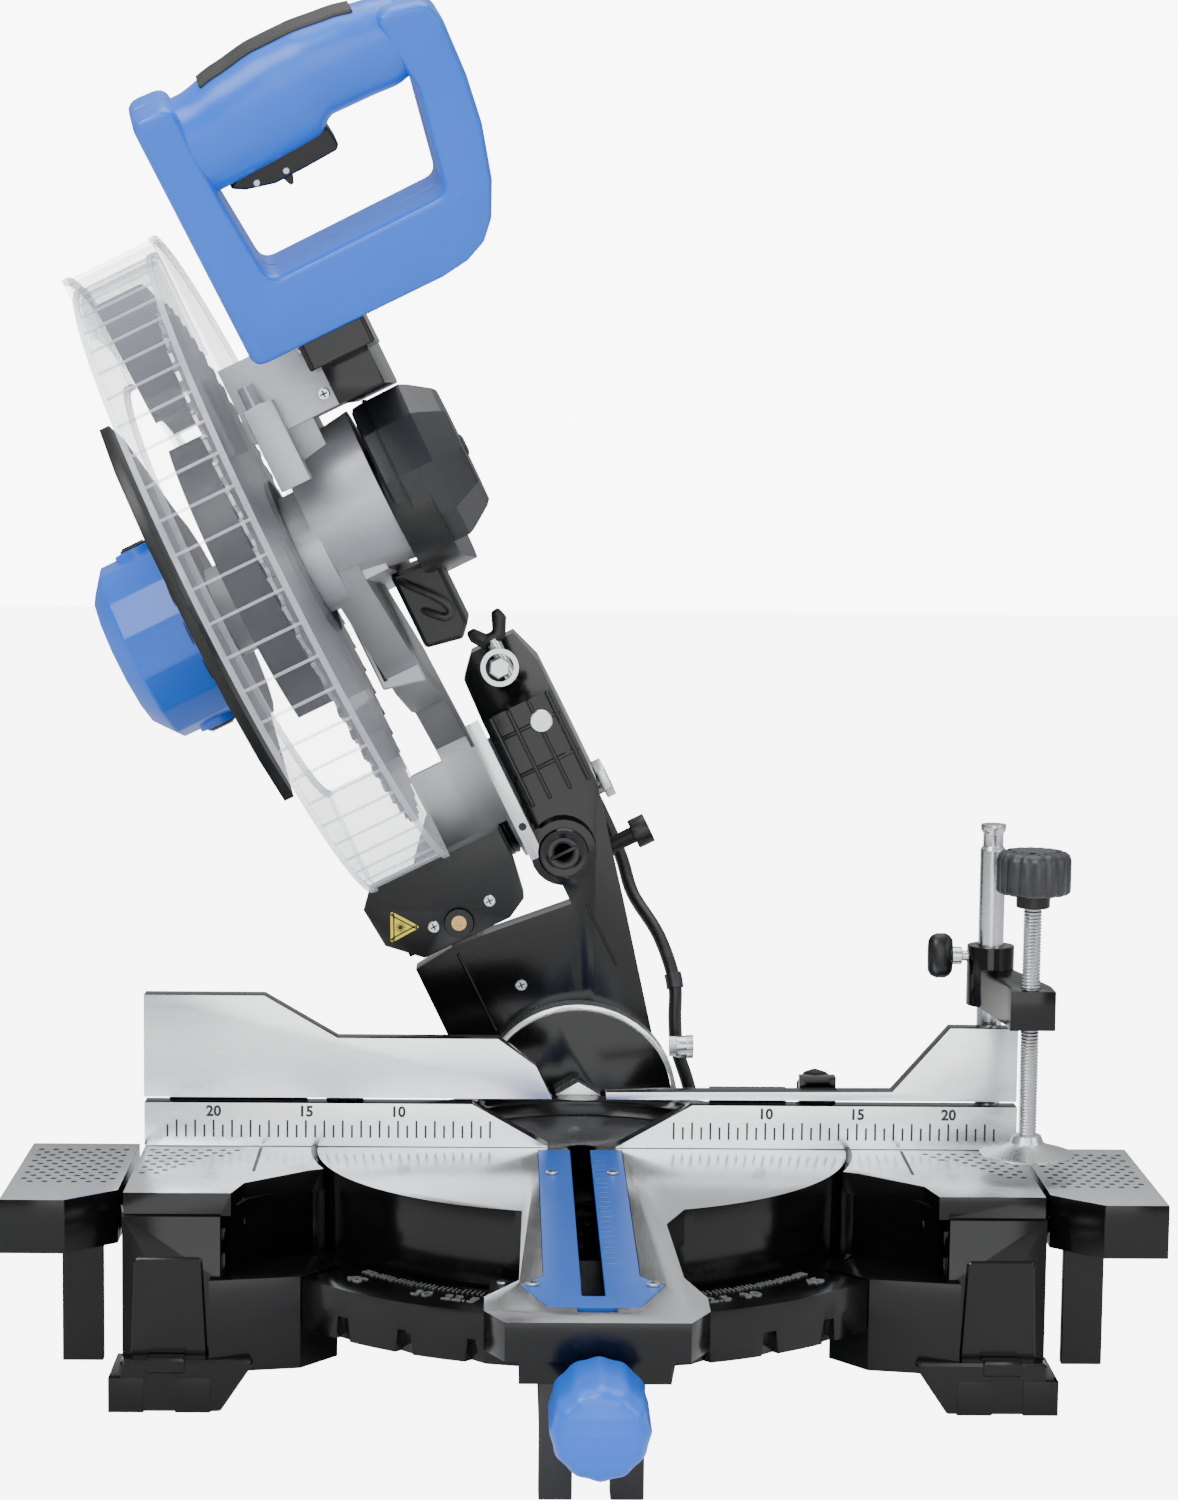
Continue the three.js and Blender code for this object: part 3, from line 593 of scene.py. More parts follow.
class Bench:
    """Puts pieces on the CAD frame's bodies and finishes them."""

    def __init__(self) -> None:
        """Builds the shared groups and the repeating tree."""
        self.groups = Groups()
        self.repeater = self._repeat_tree()
        self.body_of = {node: body for body, nodes in frame["record"]["behaviour"]["bodies"].items()
                        for node in nodes}

    def piece(self, name: str, mesh: bpy.types.Mesh, finish: Finish, body: Optional[str],
              replaces: Iterable[str] = ()) -> bpy.types.Object:
        """Adds one finished piece.

        Args:
            name: The piece's name.
            mesh: Its mesh in the row frame.
            finish: Its finish.
            body: The CAD body it rides on, or None if the caller blends it.
            replaces: The CAD nodes it stands for.

        Returns:
            The piece's object.
        """
        made = bpy.data.objects.new(name, mesh)
        bpy.context.scene.collection.objects.link(made)
        if not mesh.materials:
            mesh.materials.append(finish.build(self.groups))
        if body:
            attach(made, body)
        if replaces:
            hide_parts(*replaces)
        LOG.info("piece %s on %s, %d faces", name, body, len(mesh.polygons))
        return made

    def add(self, name: str, solid: Solid, finish: Finish, body: Optional[str], place: Place = Place.TILT,
            replaces: Iterable[str] = (), crease: float = 35) -> bpy.types.Object:
        """Adds a solid as a piece; see piece()."""
        return self.piece(name, solid.mesh(name, place.matrix, crease), finish, body, replaces)

    def copy(self, node: str, finish: Finish, soft: float = 0.6, crease: float = 28,
             second: Optional[Finish] = None, where: Optional[Callable[[Vector, Vector], bool]] = None,
             place: Place = Place.BENCH, trims: Sequence[tuple[Point, Point]] = ()) -> bpy.types.Object:
        """Adds a softened copy of a CAD node, with a second finish on some of its faces.

        Args:
            node: The CAD node.
            finish: The finish of its faces.
            soft: The bevel's width in millimetres.
            crease: Edges sharper than this, in degrees, are bevelled.
            second: The finish of the faces that where picks.
            where: Takes a face's middle and normal in the place's frame.
            place: The frame for where and trims.
            trims: Planes, a point and an outward normal each, that cut the copy down.

        Returns:
            The piece that stands for the node.
        """
        work = bmesh.new()
        work.from_mesh(frame["nodes"][node].data)
        bmesh.ops.remove_doubles(work, verts=work.verts, dist=1e-5)
        back = place.matrix.inverted()
        for point, normal in trims:
            cut = bmesh.ops.bisect_plane(work, geom=[*work.verts, *work.edges, *work.faces], dist=1e-6,
                                         plane_co=place.matrix @ Vector(point),
                                         plane_no=(place.matrix.to_3x3() @ Vector(normal)).normalized(),
                                         clear_outer=True)
            bmesh.ops.holes_fill(work,
                                 edges=[e for e in cut["geom_cut"] if isinstance(e, bmesh.types.BMEdge)])
        bmesh.ops.dissolve_limit(work, angle_limit=math.radians(0.5), verts=work.verts, edges=work.edges)
        sharp = math.radians(crease)
        edges = [e for e in work.edges if len(e.link_faces) == 2 and e.calc_face_angle(0) > sharp]
        if soft > 0:
            bmesh.ops.bevel(work, geom=edges, offset=soft * MM, segments=2, profile=0.6, affect="EDGES",
                            clamp_overlap=True)
        if second and where:
            turn = back.to_3x3()
            for face in work.faces:
                if where(back @ face.calc_center_median(), (turn @ face.normal).normalized()):
                    face.material_index = 1
        mesh = bpy.data.meshes.new(node + "_finished")
        work.to_mesh(mesh)
        work.free()
        mesh.shade_smooth()
        mesh.set_sharp_from_angle(angle=math.radians(crease))
        mesh.materials.append(finish.build(self.groups))
        if second:
            mesh.materials.append(second.build(self.groups))
        return self.piece(node + "_finished", mesh, finish, self.body_of[node], [node])

    def copies(self, *rows: tuple[str, Finish, float]) -> None:
        """Adds a softened copy for each row of CAD node, finish and bevel width."""
        for node, finish, soft in rows:
            self.copy(node, finish, soft)

    @staticmethod
    def _repeat_tree() -> bpy.types.NodeTree:
        """Builds the tree that puts a pattern on each point, turned by the point's own attribute."""
        tree = bpy.data.node_groups.new("repeat_on_points", "GeometryNodeTree")
        for label, kind in (("Geometry", "Geometry"), ("Pattern", "Object"), ("Finish", "Material")):
            tree.interface.new_socket(label, in_out="INPUT", socket_type="NodeSocket" + kind)
        tree.interface.new_socket("Geometry", in_out="OUTPUT", socket_type="NodeSocketGeometry")
        start = wired(tree, "NodeGroupInput").outputs
        pattern = wired(tree, "GeometryNodeObjectInfo", {"Object": start["Pattern"]})
        turn = wired(tree, "GeometryNodeInputNamedAttribute", {"Name": "turn"}, data_type="FLOAT_VECTOR")
        euler = wired(tree, "FunctionNodeEulerToRotation", {0: turn.outputs["Attribute"]})
        spread = wired(tree, "GeometryNodeInstanceOnPoints",
                       {"Points": start["Geometry"], "Instance": pattern.outputs["Geometry"],
                        "Rotation": euler.outputs[0]})
        real = wired(tree, "GeometryNodeRealizeInstances", {0: spread.outputs[0]})
        dress = wired(tree, "GeometryNodeSetMaterial",
                      {"Geometry": real.outputs[0], "Material": start["Finish"]})
        wired(tree, "NodeGroupOutput", {0: dress.outputs[0]})
        return tree

    def repeat(self, name: str, pattern: Solid, spots: Sequence[Matrix], finish: Finish, body: str,
               crease: float = 35) -> bpy.types.Object:
        """Puts one pattern at many spots by Geometry Nodes.

        Args:
            name: The piece's name.
            pattern: The shape that repeats, in millimetres about its own origin.
            spots: Matrices from the pattern's millimetres to the row frame.
            finish: The finish.
            body: The CAD body.
            crease: The sharp angle in degrees.

        Returns:
            The piece with every copy in it.
        """
        shape = bpy.data.objects.new(name + "_pattern",
                                     pattern.mesh(name + "_pattern", Matrix.Scale(MM, 4), crease))
        points = bpy.data.meshes.new(name + "_points")
        points.from_pydata([m.translation for m in spots], [], [])
        turns = points.attributes.new("turn", "FLOAT_VECTOR", "POINT")
        for i, spot in enumerate(spots):
            turns.data[i].vector = spot.to_3x3().normalized().to_euler("XYZ")
        carrier = bpy.data.objects.new(name + "_carrier", points)
        for thing in (shape, carrier):
            bpy.context.scene.collection.objects.link(thing)
        modifier = carrier.modifiers.new("repeat", "NODES")
        modifier.node_group = self.repeater
        sockets = {item.name: item.identifier for item in self.repeater.interface.items_tree
                   if item.in_out == "INPUT"}
        modifier[sockets["Pattern"]] = shape
        modifier[sockets["Finish"]] = finish.build(self.groups)
        bpy.context.view_layer.update()
        graph = bpy.context.evaluated_depsgraph_get()
        mesh = bpy.data.meshes.new_from_object(carrier.evaluated_get(graph))
        mesh.name = name
        for thing in (shape, carrier):
            bpy.data.objects.remove(thing)
        return self.piece(name, mesh, finish, body)

    def screws(self, name: str, spots: Sequence[Matrix], radius: float, body: str) -> None:
        """Adds cross-recessed screw heads; the recess is painted shade, a black cross set into the head's
        top.

        Args:
            name: The pieces' name.
            spots: Where the heads stand, facing +Z.
            radius: The head's radius.
            body: The CAD body.
        """
        head = Solid().rod("z", (0, 0), (-0.2, 1.5), radius, 0.5, 18)
        cross = (Solid().box((-0.62 * radius, 0.62 * radius), (-0.42, 0.42), (1.3, 1.56), 0.05)
                 .box((-0.42, 0.42), (-0.62 * radius, 0.62 * radius), (1.3, 1.57), 0.05))
        self.repeat(name, head, spots, STEEL, body)
        # Painted shade: the recess is a black cross on the head, not a cut.
        self.repeat(name + "_recess", cross, spots, INK_AND_PAINTED_SHADE, body)

    def numerals(self, name: str, marks: Sequence[tuple[str, Matrix]], height: float, depth: float,
                 finish: Finish, body: str, bold: float = 0.012) -> bpy.types.Object:
        """Adds plain numerals as one closed mesh.

        Args:
            name: The piece's name.
            marks: Texts with the matrix of their middle, facing +Z, to the row frame.
            height: The letter height in millimetres.
            depth: How far they stand up, in millimetres.
            finish: The finish.
            body: The CAD body.
            bold: How much the strokes grow, as a share of the height.

        Returns:
            The piece.
        """
        work = bmesh.new()
        for text, matrix in marks:
            curve = bpy.data.curves.new(name + "_text", "FONT")
            curve.body, curve.size, curve.extrude = text, height * 1.4, depth / 2
            curve.align_x, curve.align_y = "CENTER", "CENTER"
            curve.resolution_u, curve.offset = 3, height * bold
            shown = bpy.data.objects.new(name + "_text", curve)
            bpy.context.scene.collection.objects.link(shown)
            graph = bpy.context.evaluated_depsgraph_get()
            part = bpy.data.meshes.new_from_object(shown.evaluated_get(graph))
            part.transform(matrix)
            work.from_mesh(part)
            bpy.data.objects.remove(shown)
            bpy.data.meshes.remove(part)
        mesh = bpy.data.meshes.new(name)
        work.to_mesh(mesh)
        work.free()
        return self.piece(name, settled(mesh), finish, body)


def spot(place: Place, point: Point, turn: Euler = Euler((0, 0, 0))) -> Matrix:
    """The matrix that puts a pattern at a point of a place's frame, turned."""
    return place.matrix @ Matrix.Translation(point) @ turn.to_matrix().to_4x4()


def around(centre: Flat, degrees: float, x: float = 0) -> Matrix:
    """The matrix that turns a pattern about a crosswise axis of the tilting head."""
    return TILT @ Matrix.Translation((x, *centre)) @ Matrix.Rotation(math.radians(degrees), 4, "X")


TO_FRONT = Euler((math.pi / 2, 0, 0))
TO_REAR = Euler((-math.pi / 2, 0, 0))


# ---------------------------------------------------------------- sub-assemblies


def milled_top(middle: Vector, normal: Vector) -> bool:
    """Whether a face is part of the flat top that the work lies on."""
    return normal.z > 0.95 and abs(middle.z) < 0.6


def turned_top(middle: Vector, normal: Vector) -> bool:
    """Whether a face is part of the turntable's top or its softened edge."""
    return normal.z > 0.6 and middle.z > -1.2


def fence_face(middle: Vector, normal: Vector) -> bool:
    """Whether a face is part of the fence's milled front."""
    return normal.y < -0.95 and middle.y < 1


@dataclass
class BaseAndTables:
    """The base casting, turntable, fences and wings, with their milled faces."""

    bench: Bench
    dot_pitch: float = 7.6
    dot_radius: float = 1.75
    wing_dots: Flat = (246, 293)
    table_dots: Flat = (184, 232)
    scale_span: Flat = (50, 225)
    tick_step: float = 5.0
    ring_level: float = -42.0
    knob_axis: Flat = (0, -33)

    def build(self) -> None:
        """Finishes the castings and adds the dots, scales and screws."""
        bench = self.bench
        bench.copy("base_casting", BLACK_PAINT, 1.0, second=MACHINED, where=milled_top)
        bench.copy("turntable", BLACK_PAINT, 0.9, second=TURNED_TOP, where=turned_top)
        for side in ("left", "right"):
            bench.copy(f"{side}_wing", BLACK_PAINT, 1.0, second=MACHINED, where=milled_top)
            bench.copies((f"{side}_work_stop", GREY_PLASTIC, 0.8), (f"{side}_fence_lock", BLACK_PLASTIC, 0.8))
            bench.copy(f"{side}_upper_fence", BLACK_PAINT, 0.8, second=MACHINED, where=fence_face)
        bench.copy("fixed_fence", BLACK_PAINT, 0.7, second=MACHINED, where=fence_face)
        bench.copies(("front_support_foot", GREY_PLASTIC, 0.8), ("kerf_insert", BLUE_INSERT, 0.25),
                     ("bevel_scale", MACHINED, 0.2), ("table_pivot_bolt", STEEL, 0.5),
                     ("bevel_pivot_bolt", STEEL, 0.5))
        self._dots()
        self._fence_scale()
        self._mitre_scale()
        self._front_panels()
        self._lock_knob()
        self._small_parts()

    def _dots(self) -> None:
        """Rows of small round pits on the wings and the table's outer corners."""
        dot = Solid().rod("z", (0, 0), (-0.1, 0.05), self.dot_radius, 0.02, 10)
        for name, side in (("left", -1), ("right", 1)):
            on_wing, on_table = [], []
            for row in range(12):
                y = -10 - row * self.dot_pitch * 0.87
                shift = self.dot_pitch / 2 * (row % 2)
                for column in range(7):
                    x = self.wing_dots[0] + shift + column * self.dot_pitch
                    if x < self.wing_dots[1]:
                        on_wing.append(spot(Place.BENCH, (side * x, y, 0)))
                for column in range(8):
                    x = self.table_dots[1] - shift - column * self.dot_pitch
                    if x > self.table_dots[0] + row * 4.6 and row < 9:
                        on_table.append(spot(Place.BENCH, (side * x, y, 0)))
            self.bench.repeat(f"{name}_wing_dots", dot, on_wing, INK_AND_PAINTED_SHADE, f"{name}_wing")
            self.bench.repeat(f"{name}_table_dots", dot, on_table, INK_AND_PAINTED_SHADE, "base")
            groove = Solid().box((side * 174 - 0.9, side * 174 + 0.9), (-58, -3), (-0.1, 0.06), 0.02)
            self.bench.add(f"{name}_table_groove", groove, INK_AND_PAINTED_SHADE, "base", Place.BENCH)

    def _fence_scale(self) -> None:
        """Ticks and centimetre numerals along the fixed fence."""
        long_ticks, short_ticks, numbers = [], [], []
        first, last = self.scale_span
        for side in (-1, 1):
            for i in range(int((last - first) / self.tick_step) + 1):
                x = first + i * self.tick_step
                target = long_ticks if round(x) % 10 == 0 else short_ticks
                target.append(spot(Place.BENCH, (side * x, -0.02, 0)))
            for centimetres in (10, 15, 20):
                x = side * centimetres * 10
                numbers.append((str(centimetres), spot(Place.BENCH, (x, -0.05, 19.2), TO_FRONT)))
        for length, top, spots in (("long", 14.6, long_ticks), ("short", 12, short_ticks)):
            tick = Solid().box((-0.55, 0.55), (-0.06, 0.06), (5, top), 0.02)
            self.bench.repeat(f"fence_{length}_ticks", tick, spots, INK_AND_PAINTED_SHADE, "base")
        self.bench.numerals("fence_numerals", numbers, 5.8, 0.12, INK_AND_PAINTED_SHADE, "base", 0.05)

    def _mitre_scale(self) -> None:
        """Raised ticks and angles on the ring in front of the turntable, drawn grey as a painted highlight on
        the black paint.
        """
        level = self.ring_level
        ticks = []
        for degrees in range(-48, 49):
            x, y = polar(150.5 + (2.4 if degrees % 5 == 0 else 1.2), -90 + degrees)
            ticks.append(spot(Place.BENCH, (x, y, level), Euler((0, 0, math.radians(degrees)))))
        self.bench.repeat("mitre_ticks", Solid().box((-0.35, 0.35), (-2.6, 2.6), (-0.2, 0.5), 0.08), ticks,
                          RAISED_MARK_PAINTED_HIGHLIGHT, "base")
        numbers = []
        for value in ("45", "30", "22.5", "15", "0"):
            for side in ((-1, 1) if value != "0" else (1,)):
                turn = side * float(value)
                x, y = polar(166, -90 + turn)
                numbers.append((value,
                                spot(Place.BENCH, (x, y, level + 0.3), Euler((0, 0, math.radians(turn))))))
        self.bench.numerals("mitre_numerals", numbers, 8, 0.9, RAISED_MARK_PAINTED_HIGHLIGHT, "base")

    def _front_panels(self) -> None:
        """The raised panels on the feet, and a leg bolt."""
        for name, side in (("left", -1), ("right", 1)):
            outline = [(side * a, b) for a, b in ((193, -88), (196, -32), (231, -32), (233, -88))]
            panel = Solid().layered("y", rounded(outline, 3, 4), [(-113.6, 1), (-113, 0.2), (-111.5, 0)])
            self.bench.add(f"{name}_foot_panel", panel, BLACK_PAINT, "base", Place.BENCH)
            plan = [(side * a, b) for a, b in ((182, -103), (174.5, -82), (142, -52), (146, -48), (178, -78),
                                               (185.5, -100))]
            wall = Solid().layered("z", plan, [(-60, 0.3), (-59.6, 0), (-8.5, 0), (-8.2, 0.3)])
            self.bench.add(f"{name}_table_wall", wall, BLACK_PAINT, "base", Place.BENCH)
            block = [(side * a, b) for a, b in ((240, -109.8), (186, -109.8), (168, -83), (237, -83))]
            foot = Solid().layered("y", rounded(block, 2.5, 3),
                                   [(-123.6, 1.4), (-122.2, 0), (-112, 0), (-111, 0.5)])
            self.bench.add(f"{name}_foot_front", foot, BLACK_PAINT, "base", Place.BENCH)
            lip = Solid().box(tuple(sorted((side * 204, side * 224))), (-124.4, -114), (-90, -82), 1.2)
            self.bench.add(f"{name}_foot_lip", lip, BLACK_PAINT, "base", Place.BENCH)
            bolt = Solid().rod("z", (side * 217, -106), (-92, -88.5), 6.5, 0.8, 6)
            self.bench.add(f"{name}_foot_bolt", bolt, DARK_STEEL, "base", Place.BENCH)

    def _lock_knob(self) -> None:
        """The lobed mitre lock knob and its rod."""
        lobes = [polar(21.8 + 0.4 * math.cos(math.radians(a * 12)), a, self.knob_axis)
                 for a in range(0, 360, 5)]
        knob = Solid().layered("y", lobes, [(-401.5, 6), (-400, 3.2), (-397, 1.2), (-392, 0), (-356, 0),
                                            (-351, 1.4), (-347, 4.6), (-345.6, 6.5)])
        self.bench.add("mitre_lock_knob_grip", knob, BLUE, "mitre_lock_knob", Place.BENCH,
                       ["mitre_lock_knob"], 50)
        rod = Solid().rod("y", self.knob_axis, (-347, -196), 5, 0.4)
        self.bench.add("mitre_lock_rod", rod, STEEL, "mitre_lock_knob", Place.BENCH)

    def _small_parts(self) -> None:
        """The mitre pointer, screws in the table and the insert, and ticks on the insert."""
        pointer = Solid().layered("z", [(-49, -146), (-36, -146), (-36, -160), (-42, -172), (-49, -160)],
                                  soft_ends((-40, -34), 0.4))
        self.bench.add("mitre_pointer", pointer, BLACK_PLASTIC, "turntable", Place.BENCH)
        spots = [spot(Place.BENCH, p) for p in ((-42.5, -153, -34), (-29, -279, 0), (27, -279, 0),
                                                (-17, -60, 0), (15, -60, 0))]
        self.bench.screws("table_screws", spots, 3.2, "turntable")
        ticks = [spot(Place.BENCH, (9, -30 - i * 10, 0)) for i in range(22)]
        self.bench.repeat("insert_ticks", Solid().box((-2.6, 2.6), (-0.3, 0.3), (-0.1, 0.06), 0.02), ticks,
                          RAISED_MARK_PAINTED_HIGHLIGHT, "turntable")


@dataclass
class HoldDownClamp:
    """The clamp: post, arm, threaded screw, knobs and dished pad."""

    bench: Bench
    post: Flat = (224, 22)
    screw: Flat = (236, -45)
    pitch: float = 1.75
    thread: Flat = (14, 142)
    thumb_height: float = 104

    def build(self) -> None:
        """Builds every clamp piece."""
        self.bench.copies(("clamp_post", STEEL, 0.4), ("clamp_arm", BLACK_PAINT, 1.2))
        low, high = self.thread
        profile: list[Flat] = [(0, low - 1)]
        for i in range(int((high - low) / self.pitch)):
            z = low + i * self.pitch
            profile += [(4.3, z), (5, z + self.pitch * 0.5)]
        profile += [(4.3, high), (0, high)]
        thread = Solid().lathe("z", self.screw, profile, 20)
        self.bench.add("clamp_screw_thread", thread, STEEL, "clamp_screw", Place.BENCH, ["clamp_screw"], 60)
        pad = Solid().lathe("z", self.screw, [(0, 8), (21, 8), (24.6, 8.6), (25, 9.4), (23, 10.2), (14, 12.6),
                                              (9, 15), (7.5, 19), (5, 20), (0, 20)], 40)
        self.bench.add("clamp_pad", pad, STEEL, "clamp_screw", Place.BENCH)
        flutes = [polar(18.4 + 1.5 * abs(math.cos(math.radians(a * 8))) ** 0.6, a, self.screw)
                  for a in range(0, 360, 3)]
        knob = Solid().layered("z", flutes, [(149, 2), (150.2, 0.4), (151, 0), (167, 0), (169.8, 1),
                                             (171.4, 3.4), (172, 7)])
        self.bench.add("clamp_knob", knob, GREY_PLASTIC, "clamp_screw", Place.BENCH, crease=40)
        collar = Solid().rod("z", self.screw, (141.5, 149.5), 9, 0.6)
        self.bench.add("clamp_collar", collar, BLACK_PLASTIC, "clamp_screw", Place.BENCH)
        middle = (self.post[1], self.thumb_height)
        oval = [(middle[0] + 6.5 * math.cos(math.radians(a)), middle[1] + 12.4 * math.sin(math.radians(a)))
                for a in range(0, 360, 12)]
        grip = Solid().layered("x", oval,
                               [(189.5, 4), (191, 1.4), (194, 0), (199, 0), (201.5, 1.4), (203, 3.5)])
        self.bench.add("clamp_thumb_grip", grip, BLACK_PLASTIC, "clamp_thumb_screw", Place.BENCH,
                       ["clamp_thumb_screw"], 50)
        stem = Solid().rod("x", middle, (202, 216.4), 2.9, 0.3, 16).rod("x", middle, (202.4, 208), 5, 0.5, 16)
        self.bench.add("clamp_thumb_stem", stem, STEEL, "clamp_thumb_screw", Place.BENCH)


@dataclass
class BevelArm:
    """The leaning arm with its laser, lift spring, bolts and held cable."""

    bench: Bench
    strap: Point = (56, 166, 66)
    route: tuple[Point, ...] = ((-0.2, 231, 185.2), (14.5, 230, 156.7), (27, 218, 130), (34, 205, 109),
                                (49, 186, 87), (58, 171, 61.8), (58.5, 168, 40), (60, 168, 22),
                                (65.5, 168, 5), (68.5, 168, -6), (68.5, 168, -13.5))

    def build(self) -> None:
        """Builds the arm's pieces."""
        self.bench.copy("bevel_arm", BLACK_PAINT, 1.4, place=Place.TILT,
                        trims=[((91, 130, 161), (0.974, 0, -0.226)), ((75, 130, 92), (0.97, 0, -0.24)),
                               ((83.5, 130, 261), (0.95, 0, 0.31)), ((60, 130, 268), (0.1, 0, 1)),
                               ((50, 130, 250), (-0.75, 0, 0.66))])
        self.bench.copies(("bevel_lock_lever", BLACK_PLASTIC, 1.0), ("bevel_stop_bolt", STEEL, 0.5),
                          ("chop_pin", STEEL, 0.6), ("transport_lock_pin", DARK_STEEL, 0.6),
                          ("guard_link", STEEL, 0.3))
        self._laser()
        self._spring()
        self._hardware()
        cable = Solid().tube(catmull(self.route, 6), LEAD_DIAMETER / 2, 14)
        jacket = self.bench.add("arm_cable_jacket", cable, CORD_RUBBER, None, Place.BENCH, ["arm_cable"], 60)
        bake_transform(jacket)
        knurl = [spot(Place.BENCH, (66, 141 + 6.4 * math.cos(a), 28.4 + 6.4 * math.sin(a)), Euler((a, 0, 0)))
                 for a in (2 * math.pi * i / 24 for i in range(24))]
        self.bench.repeat("stop_bolt_knurl", Solid().box((-2, 2), (-0.3, 0.5), (-0.35, 0.35), 0.1), knurl,
                          STEEL, "bevel_arm")

    def _laser(self) -> None:
        """The laser's housing, lens, screws and plain triangle label."""
        self.bench.copy("laser_housing", BLACK_PLASTIC, 2.2)
        centre = (-13.4, 127.6)
        ring = Solid().lathe("y", centre, [(4.4, 92.4), (8.1, 92.4), (8.1, 112), (4.4, 112)], 32)
        self.bench.add("laser_ring", ring, BLACK_PLASTIC, "bevel_arm")
        lens = Solid().lathe("y", centre, [(0, 94), (1.6, 94), (1.8, 93), (4.3, 93), (4.3, 112), (0, 112)],
                             28)
        self.bench.add("laser_lens_barrel", lens, BRASS, "bevel_arm", replaces=["laser_lens"])
        spots = [spot(Place.TILT, (u, 95, w), TO_FRONT) for u, w in ((-27.2, 131.8), (7.7, 131.4))]
        spots.append(spot(Place.TILT, (0, 130.3, 74), TO_FRONT))
        self.bench.screws("arm_screws", spots, 3.4, "bevel_arm")
        outer = [(-45.5, 151), (-53.6, 134), (-34, 135)]
        inner = inset(rounded(outer, 1.5), 1.6)
        self.bench.add("laser_label", Solid().layered("y", rounded(outer, 1.5), [(94.85, 0.1), (95.05, 0)]),
                       YELLOW, "bevel_arm")
        rim = Solid().layered("y", inner, [(94.75, 0), (94.9, 0)], [inset(inner, 0.8)])
        self.bench.add("laser_label_line", rim, INK_AND_PAINTED_SHADE, "bevel_arm")
        spark = Solid().rod("y", (-44.4, 139.8), (94.72, 94.9), 1.2, 0.02, 12)
        middle = Vector((-44.4, 139.8))
        for a in range(0, 180, 30):
            reach = Vector(polar(3.0, a))
            side = Vector((-reach.y, reach.x)).normalized() * 0.22
            spark.layered("y", [tuple(middle - reach - side), tuple(middle + reach - side),
                                tuple(middle + reach + side), tuple(middle - reach + side)],
                          [(94.74, 0), (94.9, 0)])
        self.bench.add("laser_label_spark", spark, INK_AND_PAINTED_SHADE, "bevel_arm")

    def _spring(self) -> None:
        """The torsion spring round the chop pin."""
        turns, first, last, steps = 5, 16.5, 30.5, 120
        line = [Vector((first + (last - first) * i / steps, *polar(16.6, 360 * turns * i / steps, PIVOT)))
                for i in range(steps + 1)]
        self.bench.add("lift_spring_coil", Solid().tube(line, 1.5, 10), DARK_STEEL, "bevel_arm",
                       replaces=["lift_spring"], crease=60)

    def _hardware(self) -> None:
        """Ribs, the slotted boss, the wing bolt with its eye, and the cable strap."""
        boss = Solid().lathe("y", (57, 136), [(0, 107), (9, 107), (9, 104.2), (10.5, 103.6), (13.5, 103.6),
                                              (14.5, 104.6), (14.5, 108.4), (0, 108.4)], 36)
        boss.box((48.6, 65.4), (106.2, 107.4), (134.9, 137.1), 0.3)
        self.bench.add("pivot_boss_face", boss, BLACK_PAINT, "bevel_arm")
        ribs = Solid()
        for u in (52, 63, 76, 88):
            ribs.box((u - 1.2, u + 1.2), (127.4, 131.2), (165, 222), 0.5)
        for w in (184, 208):
            ribs.box((49, 90), (128.2, 131.2), (w - 1.2, w + 1.2), 0.5)
        self.bench.add("arm_ribs", ribs, BLACK_PAINT, "bevel_arm")
        webs = Solid().box((-25.8, -24.2), (128.8, 131), (56, 107), 0.4)
        webs.box((54, 55.6), (129, 131), (60, 100), 0.4)
        self.bench.add("arm_webs", webs, BLACK_PAINT, "bevel_arm")
        socket = Solid().lathe("y", (78, 208), [(0, 126), (3, 126), (3, 123.2), (6, 123.2), (6.6, 124),
                                                (6.6, 130.8), (0, 130.8)], 24)
        self.bench.add("arm_socket_bolt", socket, STEEL, "bevel_arm")
        stem = Solid().rod("z", (73, 138), (236, 262), 4, 0.4, 16)
        self.bench.add("depth_stop_stem", stem, STEEL, "depth_stop", replaces=["depth_stop"])
        wing = Solid().layered("y", rounded([(66, 259), (80, 259), (86, 270), (84, 277), (79, 276), (75, 266),
                                             (71, 266), (66, 272), (61, 272), (61, 266)], 2.5),
                               [(134.4, 1.2), (135.4, 0), (140.6, 0), (141.6, 1.2)])
        self.bench.add("depth_stop_wing", wing, BLACK_PLASTIC, "depth_stop", crease=50)
        eye = Solid().lathe("y", (70, 246), [(8.2, 126), (11, 126), (11, 129.5), (8.2, 129.5)], 28)
        eye.rod("y", (70, 246), (123, 129.5), 6.6, 0.9, 6)
        self.bench.add("depth_stop_eye", eye, STEEL, "bevel_arm")
        # Painted shade: the hole is a flat black disc on the arm, not an opening.
        hole = Solid().rod("y", (42.6, 160), (105.4, 105.9), 2.3, 0.05, 16)
        self.bench.add("guard_link_hole", hole, INK_AND_PAINTED_SHADE, "bevel_arm")
        line = catmull(self.route, 6)
        at = min(range(len(line)), key=lambda i: (line[i] - Vector(self.strap)).length)
        self.bench.add("cable_strap", Solid().tube(line[at - 1:at + 2], LEAD_DIAMETER / 2 + 1.2, 16),
                       GREY_PLASTIC, "bevel_arm", Place.BENCH)


